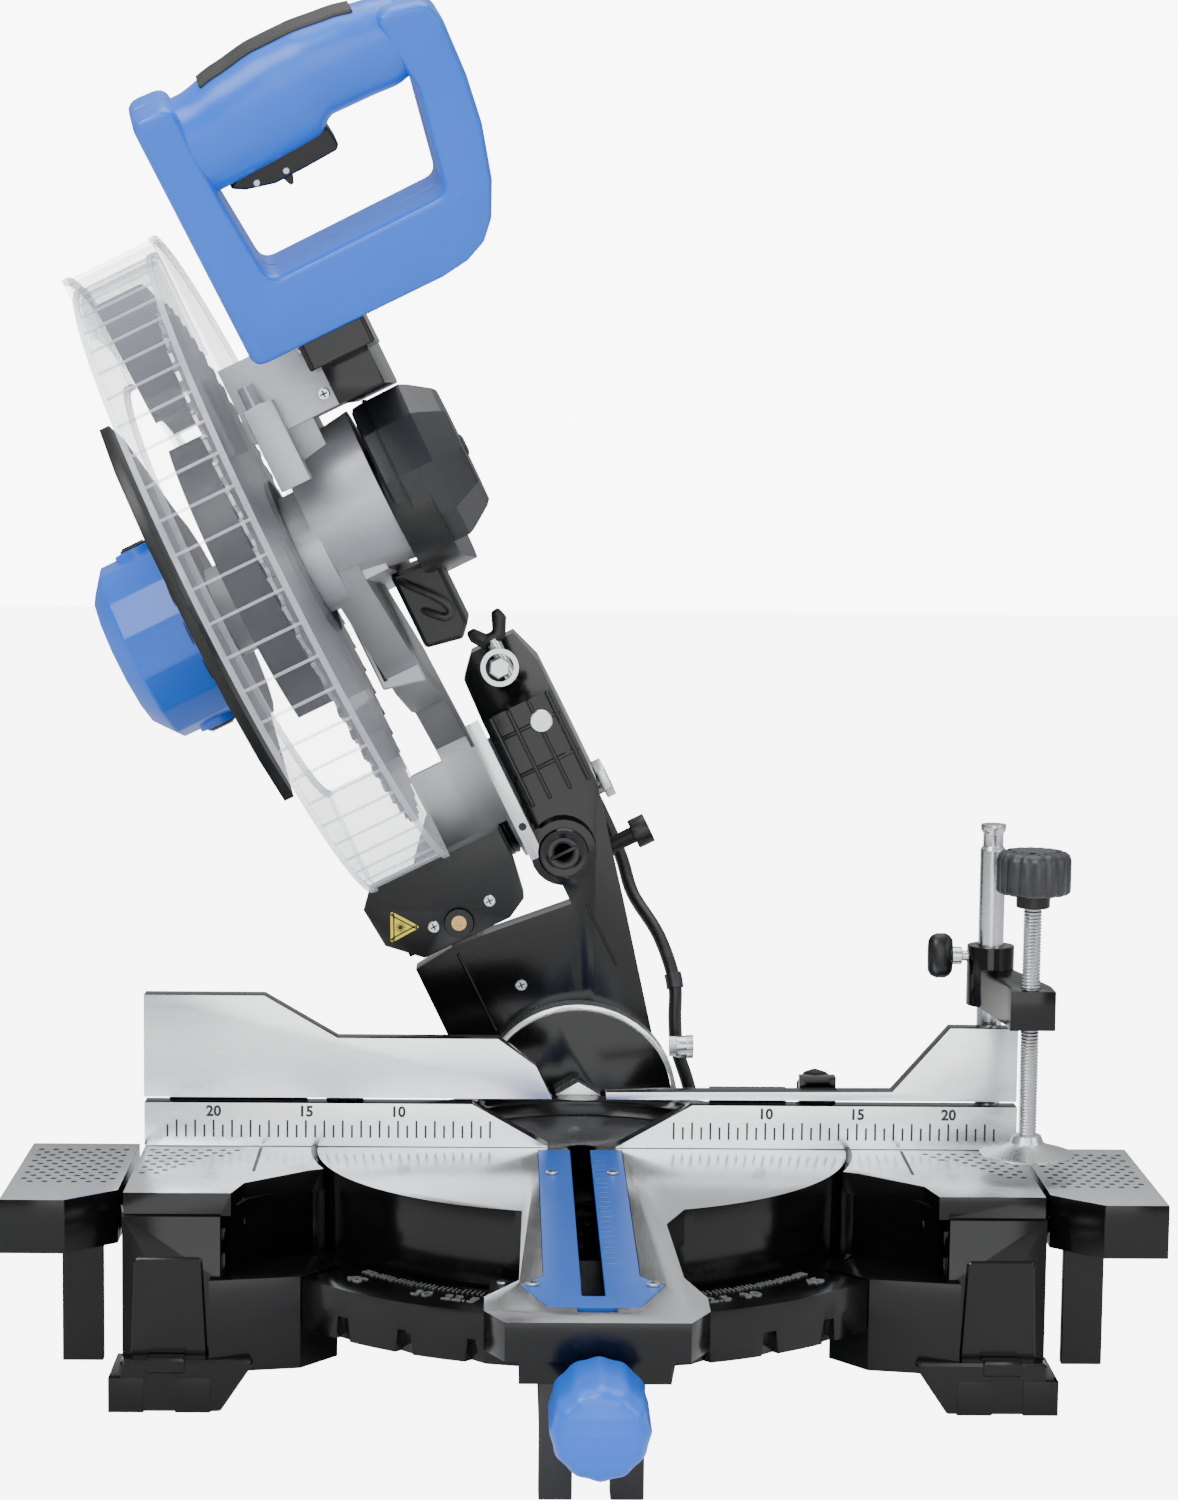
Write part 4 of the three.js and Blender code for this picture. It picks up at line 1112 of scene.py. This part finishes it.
@dataclass
class Head:
    """The gear casting, belt cover, motor and the square arm to the handle."""

    bench: Bench

    def build(self) -> None:
        """Builds the head's pieces."""
        self.bench.copies(("head_casting", CAST, 1.0), ("belt_cover", BLACK_PLASTIC, 1.4),
                          ("drive_belt", RUBBER, 0.3), ("spindle_bearing", STEEL, 0.4),
                          ("guard_bracket", CAST, 1.0))
        self.bench.copy("motor_housing", BLUE, 1.3, crease=20)
        self.bench.copies(("stator", DARK_STEEL, 0.4), ("armature", COPPER, 0.4),
                          ("motor_plate", BLACK_PLASTIC, 1.0), ("handle_arm", BLACK_PAINT, 1.4),
                          ("spindle", STEEL, 0.4), ("arbor_bolt", DARK_STEEL, 0.5))
        self._cone()
        self._brush_caps()
        self._motor_details()
        self._inner_parts()

    def _cone(self) -> None:
        """The cast cone behind the end cap, with its ribs."""
        cone = Solid().lathe("x", CAP, [(0, 21), (23, 21), (25, 24), (31, 46), (33, 61.6), (0, 61.6)], 40)
        self.bench.add("gear_cone", cone, CAST, "head")
        ribs = [around(CAP, a) for a in range(0, 360, 36)]
        rib = Solid().layered("z", [(28, 1), (28, -1), (60, -1), (60, 1)], [(24, 0.2), (33.4, 0.2)])
        self.bench.repeat("gear_cone_ribs", rib, ribs, CAST, "head")

    def _brush_caps(self) -> None:
        """Slotted brush caps in raised rings."""
        x, y, reach = -97, MOTOR[0], 7
        for end, low, sign in (("upper", 397.3, 1), ("lower", 284.7, -1)):
            rim, crown, face, slot = (low + sign * d for d in (2.6, 3.4, 3.2, 4.2))
            root, collar, lip = (low + sign * d for d in (-6, 1.4, 1.8))
            cap = Solid().lathe("z", (x, y), [(0, low), (8.8, low), (8.8, rim), (7.6, crown), (0, crown)], 32)
            cap.box((x - reach, x + reach), (y - 0.9, y + 0.9), tuple(sorted((face, slot))), 0.2)
            self.bench.add(f"brush_cap_{end}_face", cap, BLACK_PLASTIC, "head", replaces=[f"brush_cap_{end}"])
            ring = Solid().lathe("z", (x, y), [(9.1, root), (13.5, root), (12.6, collar), (9.1, lip)], 32)
            self.bench.add(f"brush_ring_{end}", ring, BLUE, "head")

    def _inner_parts(self) -> None:
        """Dark solids inside the clear guards as painted shade, the housing under the end cap and its cable
        loop.
        """
        # Painted shade: two thick dark solids stand for the shade inside the clear guards, not for parts.
        shade_sheet = Solid().lathe("x", ARBOR, [(98, -29), (165, -29), (165, -5), (98, -5)], 20, (64, 102))
        self.bench.add("guard_liner", shade_sheet, GREY_PLASTIC, "head", crease=30)
        lower = Solid().lathe("x", ARBOR, [(52, -27), (92, -27), (92, -7), (52, -7)], 28, (120, 232))
        self.bench.add("guard_liner_lower", lower, DARK_STEEL, "head", crease=30)
        outline = rounded([(41, 279), (62, 275), (68.5, 282), (68.5, 322), (41, 324)], 3)
        box = Solid().layered("y", outline, [(48, 2.5), (50, 0.6), (52, 0), (108, 0), (109, 1)])
        self.bench.add("switch_housing", box, BLACK_PLASTIC, "head")
        loop = [(43, 52, 321), (48, 45.5, 315), (55, 43, 307), (61, 43, 299), (63, 44, 292.5),
                (59, 44.5, 290), (53, 46, 295), (47, 52, 301)]
        self.bench.add("cable_loop", Solid().tube(catmull(loop, 5), 2.2, 10), CORD_RUBBER, "head", crease=60)
        slab = Solid().layered("y", rounded([(9.5, 352), (9.5, 268), (33.5, 262.5), (33.5, 352)], 1.5),
                               [(55, 1), (56, 0), (66, 0), (66.6, 0.5)])
        self.bench.add("neck_face", slab, CAST, "head")
        # Painted shade: the slot is a thin black bar on the neck's face.
        slot = Solid().box((12, 14.4), (54.6, 56.2), (272, 318), 0.3)
        self.bench.add("neck_slot", slot, INK_AND_PAINTED_SHADE, "head")

    def _motor_details(self) -> None:
        """Seams, screws and vents of the motor housing; the vents are black bars, painted shade."""
        seam = Solid().lathe("x", MOTOR, [(55, -84.4), (56.25, -84.4), (56.25, -83.8), (55, -83.8)], 14)
        self.bench.add("motor_seam", seam, INK_AND_PAINTED_SHADE, "head", crease=20)
        # Painted shade: each vent is a black bar on the housing, not an opening.
        vent = Solid().box((-0.6, 0.3), (-1.3, 1.3), (-9, 9), 0.3)
        vents = [around(MOTOR, a, -131) @ Matrix.Translation((0, 0, 27)) for a in range(0, 360, 30)]
        self.bench.repeat("motor_vents", vent, vents, INK_AND_PAINTED_SHADE, "head")
        places = [(22, -60, 424), (58, -60, 452), (58, -60, 426)]
        self.bench.screws("top_box_screws", [spot(Place.TILT, p, TO_FRONT) for p in places], 3.3, "head")
        shell = Solid().lathe("x", CAP, [(0, 64.3), (42, 64.3), (44.6, 66), (45.4, 73), (45.8, 93),
                                         (44, 96.5), (36, 107.6), (33.6, 109.6), (0, 109.6)], 10)
        self.bench.add("end_cap_faceted", shell, GREY_PLASTIC, "head", replaces=["end_cap"], crease=12)
        band = Solid().lathe("x", CAP, [(0, 72), (46.4, 72), (46.4, 73.4), (0, 73.4)], 10)
        self.bench.add("end_cap_line", band, INK_AND_PAINTED_SHADE, "head", crease=12)
        cap_bolt = Solid().lathe("x", CAP, [(0, 109.4), (6, 109.4), (6, 110.6), (4, 111.4), (0, 111.4)], 24)
        self.bench.add("end_cap_boss", cap_bolt, GREY_PLASTIC, "head")


@dataclass
class Guards:
    """The clear guards, with beads and ladder ribs in a lighter, more opaque copy of the clear finish: a
    painted highlight.
    """

    bench: Bench
    left: float = -36
    right: float = 9
    outer: float = 175
    wall: float = 2.5
    lower_sweep: Flat = (262, 85)
    upper_sweep: Flat = (96, -18)

    def build(self) -> None:
        """Builds both guards."""
        self._lower()
        self._upper()

    def _lower(self) -> None:
        """The swinging guard with its beads, ladder ribs, pegs and hub."""
        wall, sweep = self.wall, self.lower_sweep
        lower = Solid().lathe("x", ARBOR,
                              [(118, self.left), (self.outer - 1, self.left), (self.outer, self.left + 1),
                               (self.outer, self.right - 1), (self.outer - 1, self.right), (40, self.right),
                               (40, self.right - wall), (self.outer - wall, self.right - wall),
                               (self.outer - wall, self.left + wall), (118, self.left + wall)], 84, sweep)
        self.bench.add("lower_guard_shell", lower, CLEAR, "lower_guard", replaces=["lower_guard"], crease=30)
        beads = Solid()
        for side, start in ((self.left, 118), (self.right - 3, 40)):
            top = self.outer + 1.8
            beads.lathe("x", ARBOR,
                        [(self.outer, side), (top, side), (top, side + 3), (self.outer, side + 3)], 84, sweep)
            beads.lathe("x", ARBOR, [(start, side), (start + 3, side), (start + 3, side + 3),
                                     (start, side + 3)], 60, sweep)
        edge = Solid().box((self.left, self.right), (118, self.outer), (-0.8, 0.8), 0.3)
        for angle in sweep:
            beads.join(edge, Matrix.Translation((0, *ARBOR)) @ Matrix.Rotation(math.radians(angle), 4, "X"))
        self.bench.add("lower_guard_beads", beads, CLEAR_PAINTED_HIGHLIGHT, "lower_guard", crease=30)
        rib = Solid().box((self.left + 2, self.right - 2), (self.outer - 0.2, self.outer + 0.9), (-0.7, 0.7),
                          0.2)
        spots = [around(ARBOR, a) for a in (93, 97, *range(104, 258, 6))]
        self.bench.repeat("lower_guard_ribs", rib, spots, CLEAR_PAINTED_HIGHLIGHT, "lower_guard")
        pegs = [TILT @ Matrix.Translation((self.left, *polar(160, a, ARBOR))) for a in (150, 172)]
        peg = Solid().rod("x", (0, 0), (-1.2, 0.5), 4.5, 0.5, 18)
        self.bench.repeat("lower_guard_pegs", peg, pegs, CLEAR_PAINTED_HIGHLIGHT, "lower_guard")
        self.bench.add("guard_hub", Solid().lathe("x", ARBOR, [(33.4, 6.4), (44, 6.4), (44, 9), (33.4, 9)],
                                                  40), BLACK_PLASTIC, "lower_guard")

    def _upper(self) -> None:
        """The fixed guard with its beads."""
        upper = Solid().lathe("x", ARBOR, [
            (150, -40), (182, -40), (183, -39), (183, 12), (182, 13), (60, 13), (60, 10.5), (180.5, 10.5),
            (180.5, -37.5), (150, -37.5)], 64, self.upper_sweep)
        self.bench.add("upper_guard_shell", upper, CLEAR, "head", replaces=["upper_guard"], crease=30)
        rim = Solid()
        for side in (-40, 10):
            rim.lathe("x", ARBOR, [(181, side), (184.4, side), (184.4, side + 3), (181, side + 3)], 64,
                      self.upper_sweep)
        self.bench.add("upper_guard_beads", rim, CLEAR_PAINTED_HIGHLIGHT, "head", crease=30)


@dataclass
class Blade:
    """The saw blade: plate with gullets, carbide tips and expansion slots."""

    bench: Bench
    teeth: int = 60
    radius: float = 152.4

    def build(self) -> None:
        """Builds the toothed plate and its tips."""
        outline: list[Flat] = []
        step = 360 / self.teeth
        for i in range(self.teeth):
            for reach, share in ((self.radius - 0.8, 0.0), (self.radius - 3, 0.42), (self.radius - 9, 0.6),
                                 (self.radius - 9.6, 0.78), (self.radius - 4.5, 0.94)):
                outline.append(polar(reach, (i + share) * step, ARBOR))
        plate = Solid().layered("x", outline, [(-1, 0.1), (-0.9, 0), (0.9, 0), (1, 0.1)],
                                [arc(12.7, 0, 345, 23, ARBOR)])
        self.bench.add("blade_plate", plate, BLADE_STEEL, "blade", replaces=["blade"], crease=30)
        tip = Solid().box((-1.3, 1.3), (self.radius - 6, self.radius), (-1.4, 0.9), 0.2)
        tips = [around(ARBOR, i * step) for i in range(self.teeth)]
        self.bench.repeat("blade_tips", tip, tips, CARBIDE, "blade")
        # Painted shade: the expansion slots are black bars through the uncut plate.
        slot = Solid().box((-1.06, 1.06), (self.radius - 26, self.radius - 12), (-0.35, 0.35), 0.1)
        self.bench.repeat("blade_slots", slot, tips[::15], INK_AND_PAINTED_SHADE, "blade")


@dataclass
class Handle:
    """The D handle: two rounded shells, a round grip with a rubber strip, trigger and screws."""

    bench: Bench
    half: float = 20
    outer: tuple[Flat, ...] = ((39, 0), (40, 135), (61, 134), (62, 84), (65, 37), (158, 38), (167, 89),
                               (162, 131), (188, 125), (192, 113), (191, 84), (188, 60), (181, 33), (173, 16),
                               (165, 7), (154, 2), (140, 0))
    crown: tuple[Flat, ...] = ((50, 131), (66, 131), (85, 135), (105, 138), (125, 138), (145, 136),
                               (160, 133), (176, 129))
    belly: tuple[Flat, ...] = ((50, 82), (66, 83), (85, 84), (105, 85), (117, 86), (126, 92.5), (145, 92),
                               (160, 91), (176, 95))
    seam: float = 0.15
    rounding: float = 6.0

    def build(self) -> None:
        """Builds the handle's pieces."""
        self._shells()
        self._grip()
        self._trigger()
        screw = Solid().lathe("z", (0, 0),
                              [(0, 0.4), (1.8, 0.4), (2.2, 1.4), (3.6, 1.4), (3.6, -0.8), (0, -0.8)], 20)
        spots = [spot(Place.GRIP, (x, self.half, z), TO_REAR) for x,
                 z in ((50, 122), (177, 112), (50, 14), (160, 18))]
        self.bench.repeat("handle_screws", screw, spots, DARK_STEEL, "head")

    def _shells(self) -> None:
        """The two halves of the frame, with rounded edges and a fine seam between them."""
        outline = rounded(self.outer, 7, 5)
        curve = [(self.half - self.rounding * (1 - math.sin(math.radians(a))), self.rounding
                  * (1 - math.cos(math.radians(a)))) for a in range(0, 91, 15)]
        for name, sign in (("front", -1), ("rear", 1)):
            layers = [(sign * self.seam, 0.5), (sign * (self.seam + 0.5), 0)]
            layers += [(sign * height, drawn * 0.5) for height, drawn in curve]
            shell = Solid().layered("y", outline, layers)
            self.bench.add(f"handle_{name}_shell_moulded", shell, BLUE, "head", Place.GRIP,
                           [f"handle_{name}_shell"], 40)

    @staticmethod
    def _height(line: Sequence[Flat], x: float) -> float:
        """The height of a line of points at x, eased between them."""
        for (a, low), (b, high) in zip(line, line[1:]):
            if a <= x <= b:
                share = (x - a) / (b - a)
                share = share * share * (3 - 2 * share) * 0.5 + share * 0.5
                return low + (high - low) * share
        return line[-1][1]

    def _ring(self, x: float, depth: float) -> list[Point]:
        """One round section of the grip at x."""
        top, bottom = self._height(self.crown, x), self._height(self.belly, x)
        ring: list[Point] = []
        sides, squareness = 32, 0.85
        for k in range(sides):
            angle = 2 * math.pi * k / sides
            across, up = (math.copysign(abs(v) ** squareness, v) for v in (math.cos(angle), math.sin(angle)))
            ring.append((x, depth * across, (top + bottom) / 2 + (top - bottom) / 2 * up))
        return ring

    def _grip(self) -> None:
        """The round grip, its collars and the rubber strip along its top."""
        start, length, steps = 54, 120, 48
        depths = [18.6 + 5.4 * math.sin(math.pi * i / steps) for i in range(steps + 1)]
        grip = Solid().loft([self._ring(start + length * i / steps, depth) for i, depth in enumerate(depths)])
        self.bench.add("handle_grip", grip, BLUE, "head", Place.GRIP, crease=50)
        top: list[Flat] = [(x, self._height(self.crown, x) + 0.9) for x in range(76, 160, 4)]
        strip = top + [(a, b - 5) for a, b in reversed(top)]
        pad = Solid().layered("y", strip, [(-9, 1.2), (-8, 0.3), (8, 0.3), (9, 1.2)])
        self.bench.add("grip_pad_moulded", pad, RUBBER, "head", Place.GRIP, ["grip_pad"])
        neck = Solid().layered("z", rounded([(62, -164), (97, -164), (97, -98), (62, -98)], 3),
                               [(436, 0.6), (436.6, 0), (461, 0), (462, 1)])
        self.bench.add("handle_neck", neck, BLACK_PAINT, "head")
        pocket = Solid().layered("y", rounded([(45, 30), (62, 30), (62, 44), (55, 56), (45, 50)], 3),
                               [(8, 0.8), (8.8, 0), (24, 0), (25, 1)])
        self.bench.add("handle_pocket", pocket, BLUE, "head", Place.GRIP)

    def _trigger(self) -> None:
        """The trigger with its two pins and nib, and the switch behind it."""
        self.bench.copy("switch_block", BLACK_PLASTIC, 0.4)
        blade = rounded([(66, 83), (74, 78.5), (88, 75), (104, 75.5), (121, 76.5), (123, 79), (122, 89),
                         (110, 91), (80, 90)], 2.2)
        lever = Solid().layered("y", blade, [(-8.5, 1.4), (-7.4, 0.2), (7.4, 0.2), (8.5, 1.4)])
        self.bench.add("trigger_lever", lever, BLACK_PLASTIC, "trigger", Place.GRIP, ["trigger"], 40)
        pins = [spot(Place.GRIP, (x, -8.6, z), TO_FRONT) for x, z in ((80, 80), (95, 79))]
        self.bench.repeat("trigger_pins", Solid().rod("z", (0, 0), (-1, 0.8), 1.7, 0.3, 14), pins, STEEL,
                          "trigger")
        nib = Solid().layered("y", rounded([(91, 77), (98, 77), (95.5, 70), (93.5, 70)], 0.8),
                              [(-4, 0.6), (-3.4, 0), (3.4, 0), (4, 0.6)])
        self.bench.add("trigger_nib", nib, BLACK_PLASTIC, "trigger", Place.GRIP)


@dataclass
class MainsLead:
    """The mains lead: strain relief, a run along the bench, a coil and its plug."""

    bench: Bench
    exit: Point = (-212, 45.3, -60)
    coil: Flat = (-120, 150)
    radii: tuple[float, ...] = (53, 45, 37)
    low: float = -TABLE_HEIGHT + LEAD_DIAMETER / 2 + 0.8
    entry: float = 96.0
    turn_start: float = 110.0
    turn_end: float = -250.0
    last_end: float = -14.0

    def build(self) -> None:
        start = self.exit[1] + 36.3
        x, z, low = self.exit[0], self.exit[2], self.low
        run = [(x, start, z), (x, start + 8, z), (x, start + 20, z - 4), (x + 1, start + 36, z - 20),
               (x + 4, start + 48, low + 10), (x + 10, start + 64, low), (-195, 165, low), (-188, 182, low),
               (-177, 195, low), (-164, 201.8, low), (-151.2, 203, low), (-136, 203.2, low)]
        tail = [(-67.5, 118.7, low + 3), (-66.5, 108, low), (-62, 97, low), (-52, 89, low + 2),
                (-42, 86, low + 6), (-34, 86, low + 6.5)]
        line = catmull(run, 5) + self._turns() + catmull(tail, 5)
        solid = Solid().tube(line, LEAD_DIAMETER / 2, 12)
        lead = self.bench.add("mains_flex", solid, CORD_RUBBER, "base", Place.BENCH,
                              ["mains_lead", "lead_coil", "lead_tail"], 60)
        sleeve: list[Flat] = [(4.2, self.exit[1])]
        for i in range(9):
            y = self.exit[1] + 2 + i * 3.8
            reach = 8.8 - 0.36 * i
            sleeve += [(reach, y - 1.6), (reach, y + 0.6), (reach - 1.6, y + 1.0), (reach - 1.6, y + 1.8)]
        sleeve += [(4.2, self.exit[1] + 36)]
        relief = Solid().lathe("y", (x, z), sleeve, 24)
        self.bench.add("strain_relief_ribbed", relief, RUBBER, "base", Place.BENCH, ["strain_relief"])
        plug = self._plug()

    def _turns(self) -> list[Vector]:
        """Two layers of turns, stepping in on the lower layer and out on the upper one."""
        low, high = self.low, self.low + LEAD_DIAMETER
        rings = [(r, low) for r in self.radii] + [(r, high) for r in reversed(self.radii)]
        points: list[Vector] = []
        step, ease_from, ease_span = 12, -200, 50
        for i, (radius, z) in enumerate(rings):
            last = i == len(rings) - 1
            start = self.turn_start if i else self.entry
            stop = self.last_end if last else self.turn_end
            wider, above = (radius, z) if last else rings[i + 1]
            count = max(3, int(abs(stop - start) / step))
            for k in range(count + last):
                angle = start + (stop - start) * k / count
                share = max(0.0, min(1.0, (ease_from - angle) / ease_span))
                share = share * share * (3 - 2 * share)
                flat = polar(radius + (wider - radius) * share, angle, self.coil)
                points.append(Vector((*flat, z + (above - z) * share)))
        return points

    def _plug(self) -> list[bpy.types.Object]:
        """The moulded plug and its pins.

        Returns:
            The plug's pieces.
        """
        y, z = 86.0, -99.0
        outline = rounded([(-24, y - 11), (-12, y - 17.6), (12, y - 17.6), (12, y + 17.6), (-12, y + 17.6),
                           (-24, y + 11)], 4)
        body = Solid().layered("z", outline, [(-110, 1.5), (-108.6, 0), (-90, 0), (-88.2, 1.8)])
        body.rod("x", (y, z), (-33.4, -20), 6.4, 0.8, 20)
        made = self.bench.add("plug_body", body, BLACK_PLASTIC, "base", Place.BENCH, ["mains_plug"])
        pins = Solid()
        for side in (-9.5, 9.5):
            pins.rod("x", (y + side, z), (11, 31), 2.4, 0.8, 16)
        return [made, self.bench.add("plug_pins", pins, STEEL, "base", Place.BENCH)]


# ---------------------------------------------------------------- studio


@dataclass
class Studio:
    """The camera, pale floor and soft lights."""

    sensor: float = 36
    lens: float = 80.45424
    eye: Point = (-43.82, -1790.77, 414.89)
    yaw: float = math.radians(1.4486)
    pitch: float = math.radians(6.267)
    roll: float = math.radians(0.6634)

    def build(self) -> None:
        """Builds the camera, floor and lights."""
        data = bpy.data.cameras.new("camera")
        data.sensor_width, data.lens = self.sensor, self.lens
        data.clip_end = 50
        camera = bpy.data.objects.new("camera", data)
        bpy.context.scene.collection.objects.link(camera)
        ahead = Vector((math.sin(self.yaw) * math.cos(self.pitch), math.cos(self.yaw) * math.cos(self.pitch),
                        -math.sin(self.pitch)))
        level = Vector((math.cos(self.yaw), -math.sin(self.yaw), 0))
        above = level.cross(ahead)
        right = level * math.cos(self.roll) + above * math.sin(self.roll)
        up = above * math.cos(self.roll) - level * math.sin(self.roll)
        turn = Matrix((right, up, -ahead)).transposed().to_4x4()
        camera.matrix_world = Matrix.Translation(BENCH @ Vector(self.eye)) @ turn
        bpy.context.scene.camera = camera
        self._floor()
        for name, place, aim, size, power in (
                ("key", (-1.5, -1.7, 2.3), (0, 0, 0.35), 1.6, 62),
                ("fill", (2.1, -1.5, 1.2), (0, 0, 0.3), 1.4, 16),
                ("top", (0.1, 0.3, 2.7), (0, 0, 0.2), 2.2, 46),
                ("low_front", (0.1, -2.6, 0.8), (0, 0, 0.15), 1.8, 26)):
            self._light(name, place, aim, size, power)
        self._world()

    @staticmethod
    def _floor() -> None:
        """A plain pale floor under the saw."""
        mesh = bpy.data.meshes.new("floor")
        reach, level = 6.0, -0.0006
        mesh.from_pydata([(-reach, -reach, level), (reach, -reach, level), (reach, reach, level),
                          (-reach, reach, level)], [], [(0, 1, 2, 3)])
        floor = bpy.data.objects.new("floor", mesh)
        bpy.context.scene.collection.objects.link(floor)
        paint = bpy.data.materials.new("pale_floor")
        paint.use_nodes = True
        tree = paint.node_tree
        shader = tree.nodes["Principled BSDF"]
        feed(tree, shader, {"Base Color": (0.75, 0.75, 0.76, 1), "Roughness": 0.8})
        shine = wired(tree, "ShaderNodeEmission", {"Color": WHITE, "Strength": BACKDROP})
        seen = wired(tree, "ShaderNodeLightPath").outputs["Is Camera Ray"]
        share = wired(tree, "ShaderNodeMath", {0: seen, 1: 0.8}, operation="MULTIPLY")
        mix = wired(tree, "ShaderNodeMixShader",
                    {0: share.outputs[0], 1: shader.outputs[0], 2: shine.outputs[0]})
        feed(tree, tree.nodes["Material Output"], {"Surface": mix.outputs[0]})
        mesh.materials.append(paint)

    @staticmethod
    def _light(name: str, place: Point, aim: Point, size: float, power: float) -> None:
        """Adds one soft square light."""
        data = bpy.data.lights.new(name, "AREA")
        data.energy, data.size = power, size
        lamp = bpy.data.objects.new(name, data)
        bpy.context.scene.collection.objects.link(lamp)
        lamp.location = place
        lamp.rotation_euler = (Vector(aim) - Vector(place)).to_track_quat("-Z", "Y").to_euler()

    @staticmethod
    def _world() -> None:
        """A white studio that is darker towards the floor, so that gloss shows its edges."""
        world = bpy.data.worlds.new("studio")
        bpy.context.scene.world = world
        world.use_nodes = True
        tree = world.node_tree
        split = wired(tree, "ShaderNodeSeparateXYZ",
                      {0: wired(tree, "ShaderNodeTexCoord").outputs["Generated"]})
        height = wired(tree, "ShaderNodeMapRange", {"Value": split.outputs["Z"], "From Min": -1})
        ramp = wired(tree, "ShaderNodeValToRGB", {0: height.outputs[0]})
        for stop, place, colour in zip(ramp.color_ramp.elements, (0.3, 0.9), ((0.25, 0.26, 0.28, 1), WHITE)):
            stop.position, stop.color = place, colour
        base = tree.nodes["Background"]
        feed(tree, base, {"Color": ramp.outputs[0], "Strength": 0.75})
        seen = wired(tree, "ShaderNodeBackground", {"Color": WHITE, "Strength": BACKDROP})
        path = wired(tree, "ShaderNodeLightPath")
        mix = wired(tree, "ShaderNodeMixShader",
                    {0: path.outputs["Is Camera Ray"], 1: base.outputs[0], 2: seen.outputs[0]})
        feed(tree, tree.nodes["World Output"], {0: mix.outputs[0]})


def main() -> None:
    """Builds the studio, then every sub-assembly."""
    logging.basicConfig(level=logging.INFO, format="%(name)s: %(message)s")
    Studio().build()
    bench = Bench()
    for part in (MainsLead, BaseAndTables, HoldDownClamp, BevelArm, Head, Guards, Blade, Handle):
        LOG.info("building %s", part.__name__)
        part(bench).build()


if __name__ == "__main__":
    main()
